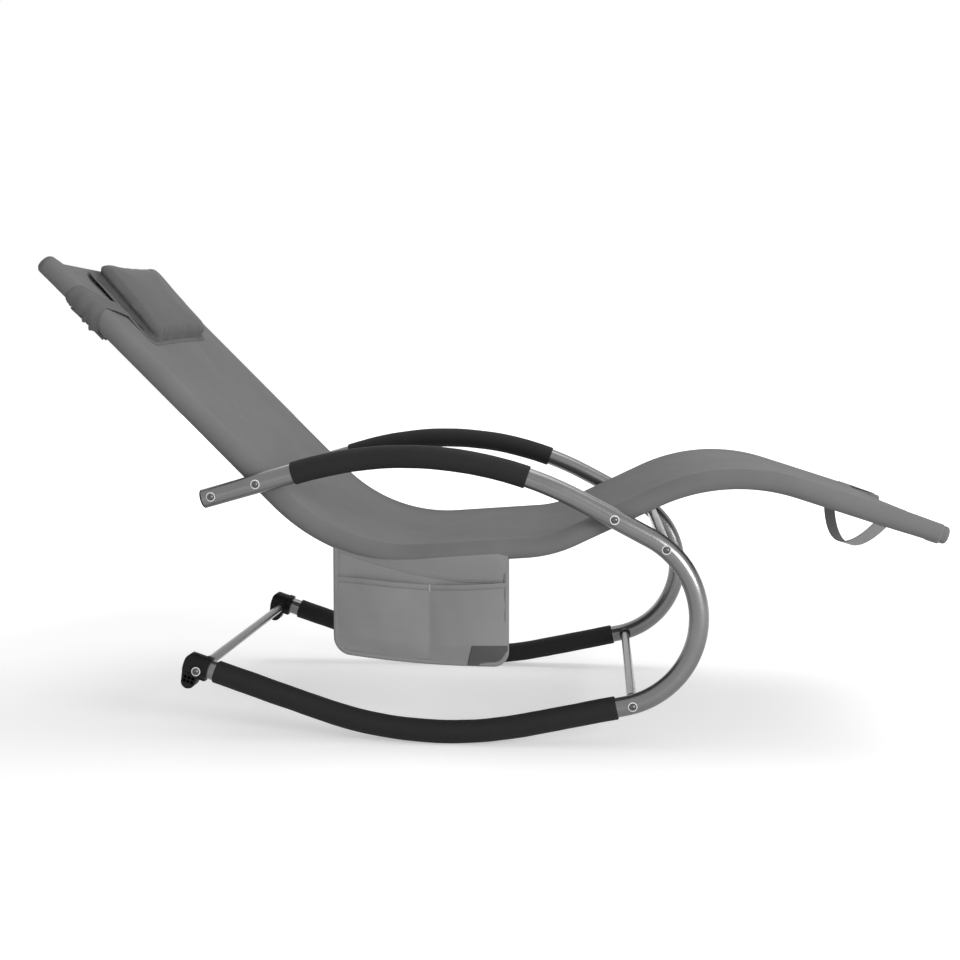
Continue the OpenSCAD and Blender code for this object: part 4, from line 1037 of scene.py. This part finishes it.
hem = pocket_hem()
binding = bag_binding()
patch = corner_patch()
bag_thread = bag_seams()
tab = divider_tab()
edging = join("bag_binding_tape", [binding, hem])
for obj in (bag_back, bag_flap, bag_pocket, edging, patch, bag_thread, tab):
    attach(obj, "frame")
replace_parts(bag_back, "bag_panel", "bag_binding")
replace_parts(bag_pocket, "bag_pocket")


# Leg strap
STRAP_WIDE = 0.0205


def leg_webbing():
    """Flat tape that hangs in an arc of a circle between the sleeves' undersides, with thicker
    selvages, and twists by a few degrees on the way."""
    half, drop = 0.2515, 0.060
    radius = (half * half + drop * drop) / (2 * drop)
    lean = math.asin(half / radius)
    a = np.linspace(-lean, lean, 160)[:, None]
    w = np.linspace(-STRAP_WIDE / 2, STRAP_WIDE / 2, 16)[None, :]
    thicker = 0.0003 * (np.abs(w) / (STRAP_WIDE / 2)) ** 8
    twist = 0.06 * np.sin(a / lean * 1.6 + 0.4)
    s = RAIL_END - 0.0985 + 0.010 * (a + lean) / (2 * lean) + w * np.cos(twist)
    n = -(SLEEVE_R + 0.0012) - (radius * np.cos(a) - (radius - drop)) + w * np.sin(twist) + 0.0005 + thicker
    uv = np.stack(np.broadcast_arrays(w, a * radius), -1)
    # back = 1.0 moves the second face past 0.5 on the map, so that it shows the ribs and the first face the
    # webbing's near-black painted shade.
    strap = shell("leg_strap_webbing", beside(RAIL, s, n, radius * np.sin(a)), 0.0014 + thicker, TAPE, uv, 1.0)
    return strap, 2 * radius * lean


strap, strap_long = leg_webbing()
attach(strap, "frame")
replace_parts(strap, "leg_strap")


# Floor, world and lamps
def studio_floor():
    """A wide plain floor that keeps the shadow, and shows to the camera and to gloss as white, more so
    further out."""
    f = Finish("studio_floor")
    far = f.node("VectorMath", {"operation": "LENGTH"}, out=1, in_0=f.where())
    glow = f.node("Emission", Color=grey(1.0), Strength=f.seen() * (0.36 + ((far - 1.2) / 2.0).clamp() * 0.6))
    f.close("Material", f.node("AddShader", in_0=f.node("BsdfDiffuse", Color=grey(0.80)), in_1=glow))
    far = 14.0
    corners = [(x * far, y * far, 0) for x, y in ((-1, -1), (1, -1), (1, 1), (-1, 1))]
    mesh = bpy.data.meshes.new("studio_floor")
    mesh.from_pydata(corners, [], [(0, 1, 2, 3)])
    mesh.materials.append(f.material)
    floor = bpy.data.objects.new("studio_floor", mesh)
    scene.collection.objects.link(floor)


studio_floor()

studio = Finish("studio", "worlds")
level = studio.node("Mix", {"data_type": "FLOAT"}, in_0=studio.seen(), in_2=0.55, in_3=1.0)
studio.close("World", studio.node("Background", Color=grey(1.0), Strength=level))
scene.world = studio.material


def softbox(name, place, aim, size, power):
    lamp = bpy.data.lights.new(name, "AREA")
    lamp.shape = "RECTANGLE"
    lamp.size, lamp.size_y = size
    lamp.energy = power
    obj = bpy.data.objects.new(name, lamp)
    obj.location = place
    look = np.array(aim, float) - np.array(place, float)
    yaw = math.atan2(look[1], look[0]) - math.pi / 2
    pitch = math.atan2(math.hypot(look[0], look[1]), -look[2])
    obj.rotation_euler = (pitch, 0, yaw)
    scene.collection.objects.link(obj)


softbox("key_softbox", (2.6, -2.9, 1.3), (0, 0, 0.45), (1.6, 1.4), 96)
softbox("top_softbox", (0.5, 0.5, 3.0), (0.1, 0, 0.3), (2.2, 1.6), 25)
softbox("rear_softbox", (-1.8, 2.4, 1.6), (0, 0, 0.4), (1.4, 1.4), 6)

scene.view_settings.view_transform = "Standard"
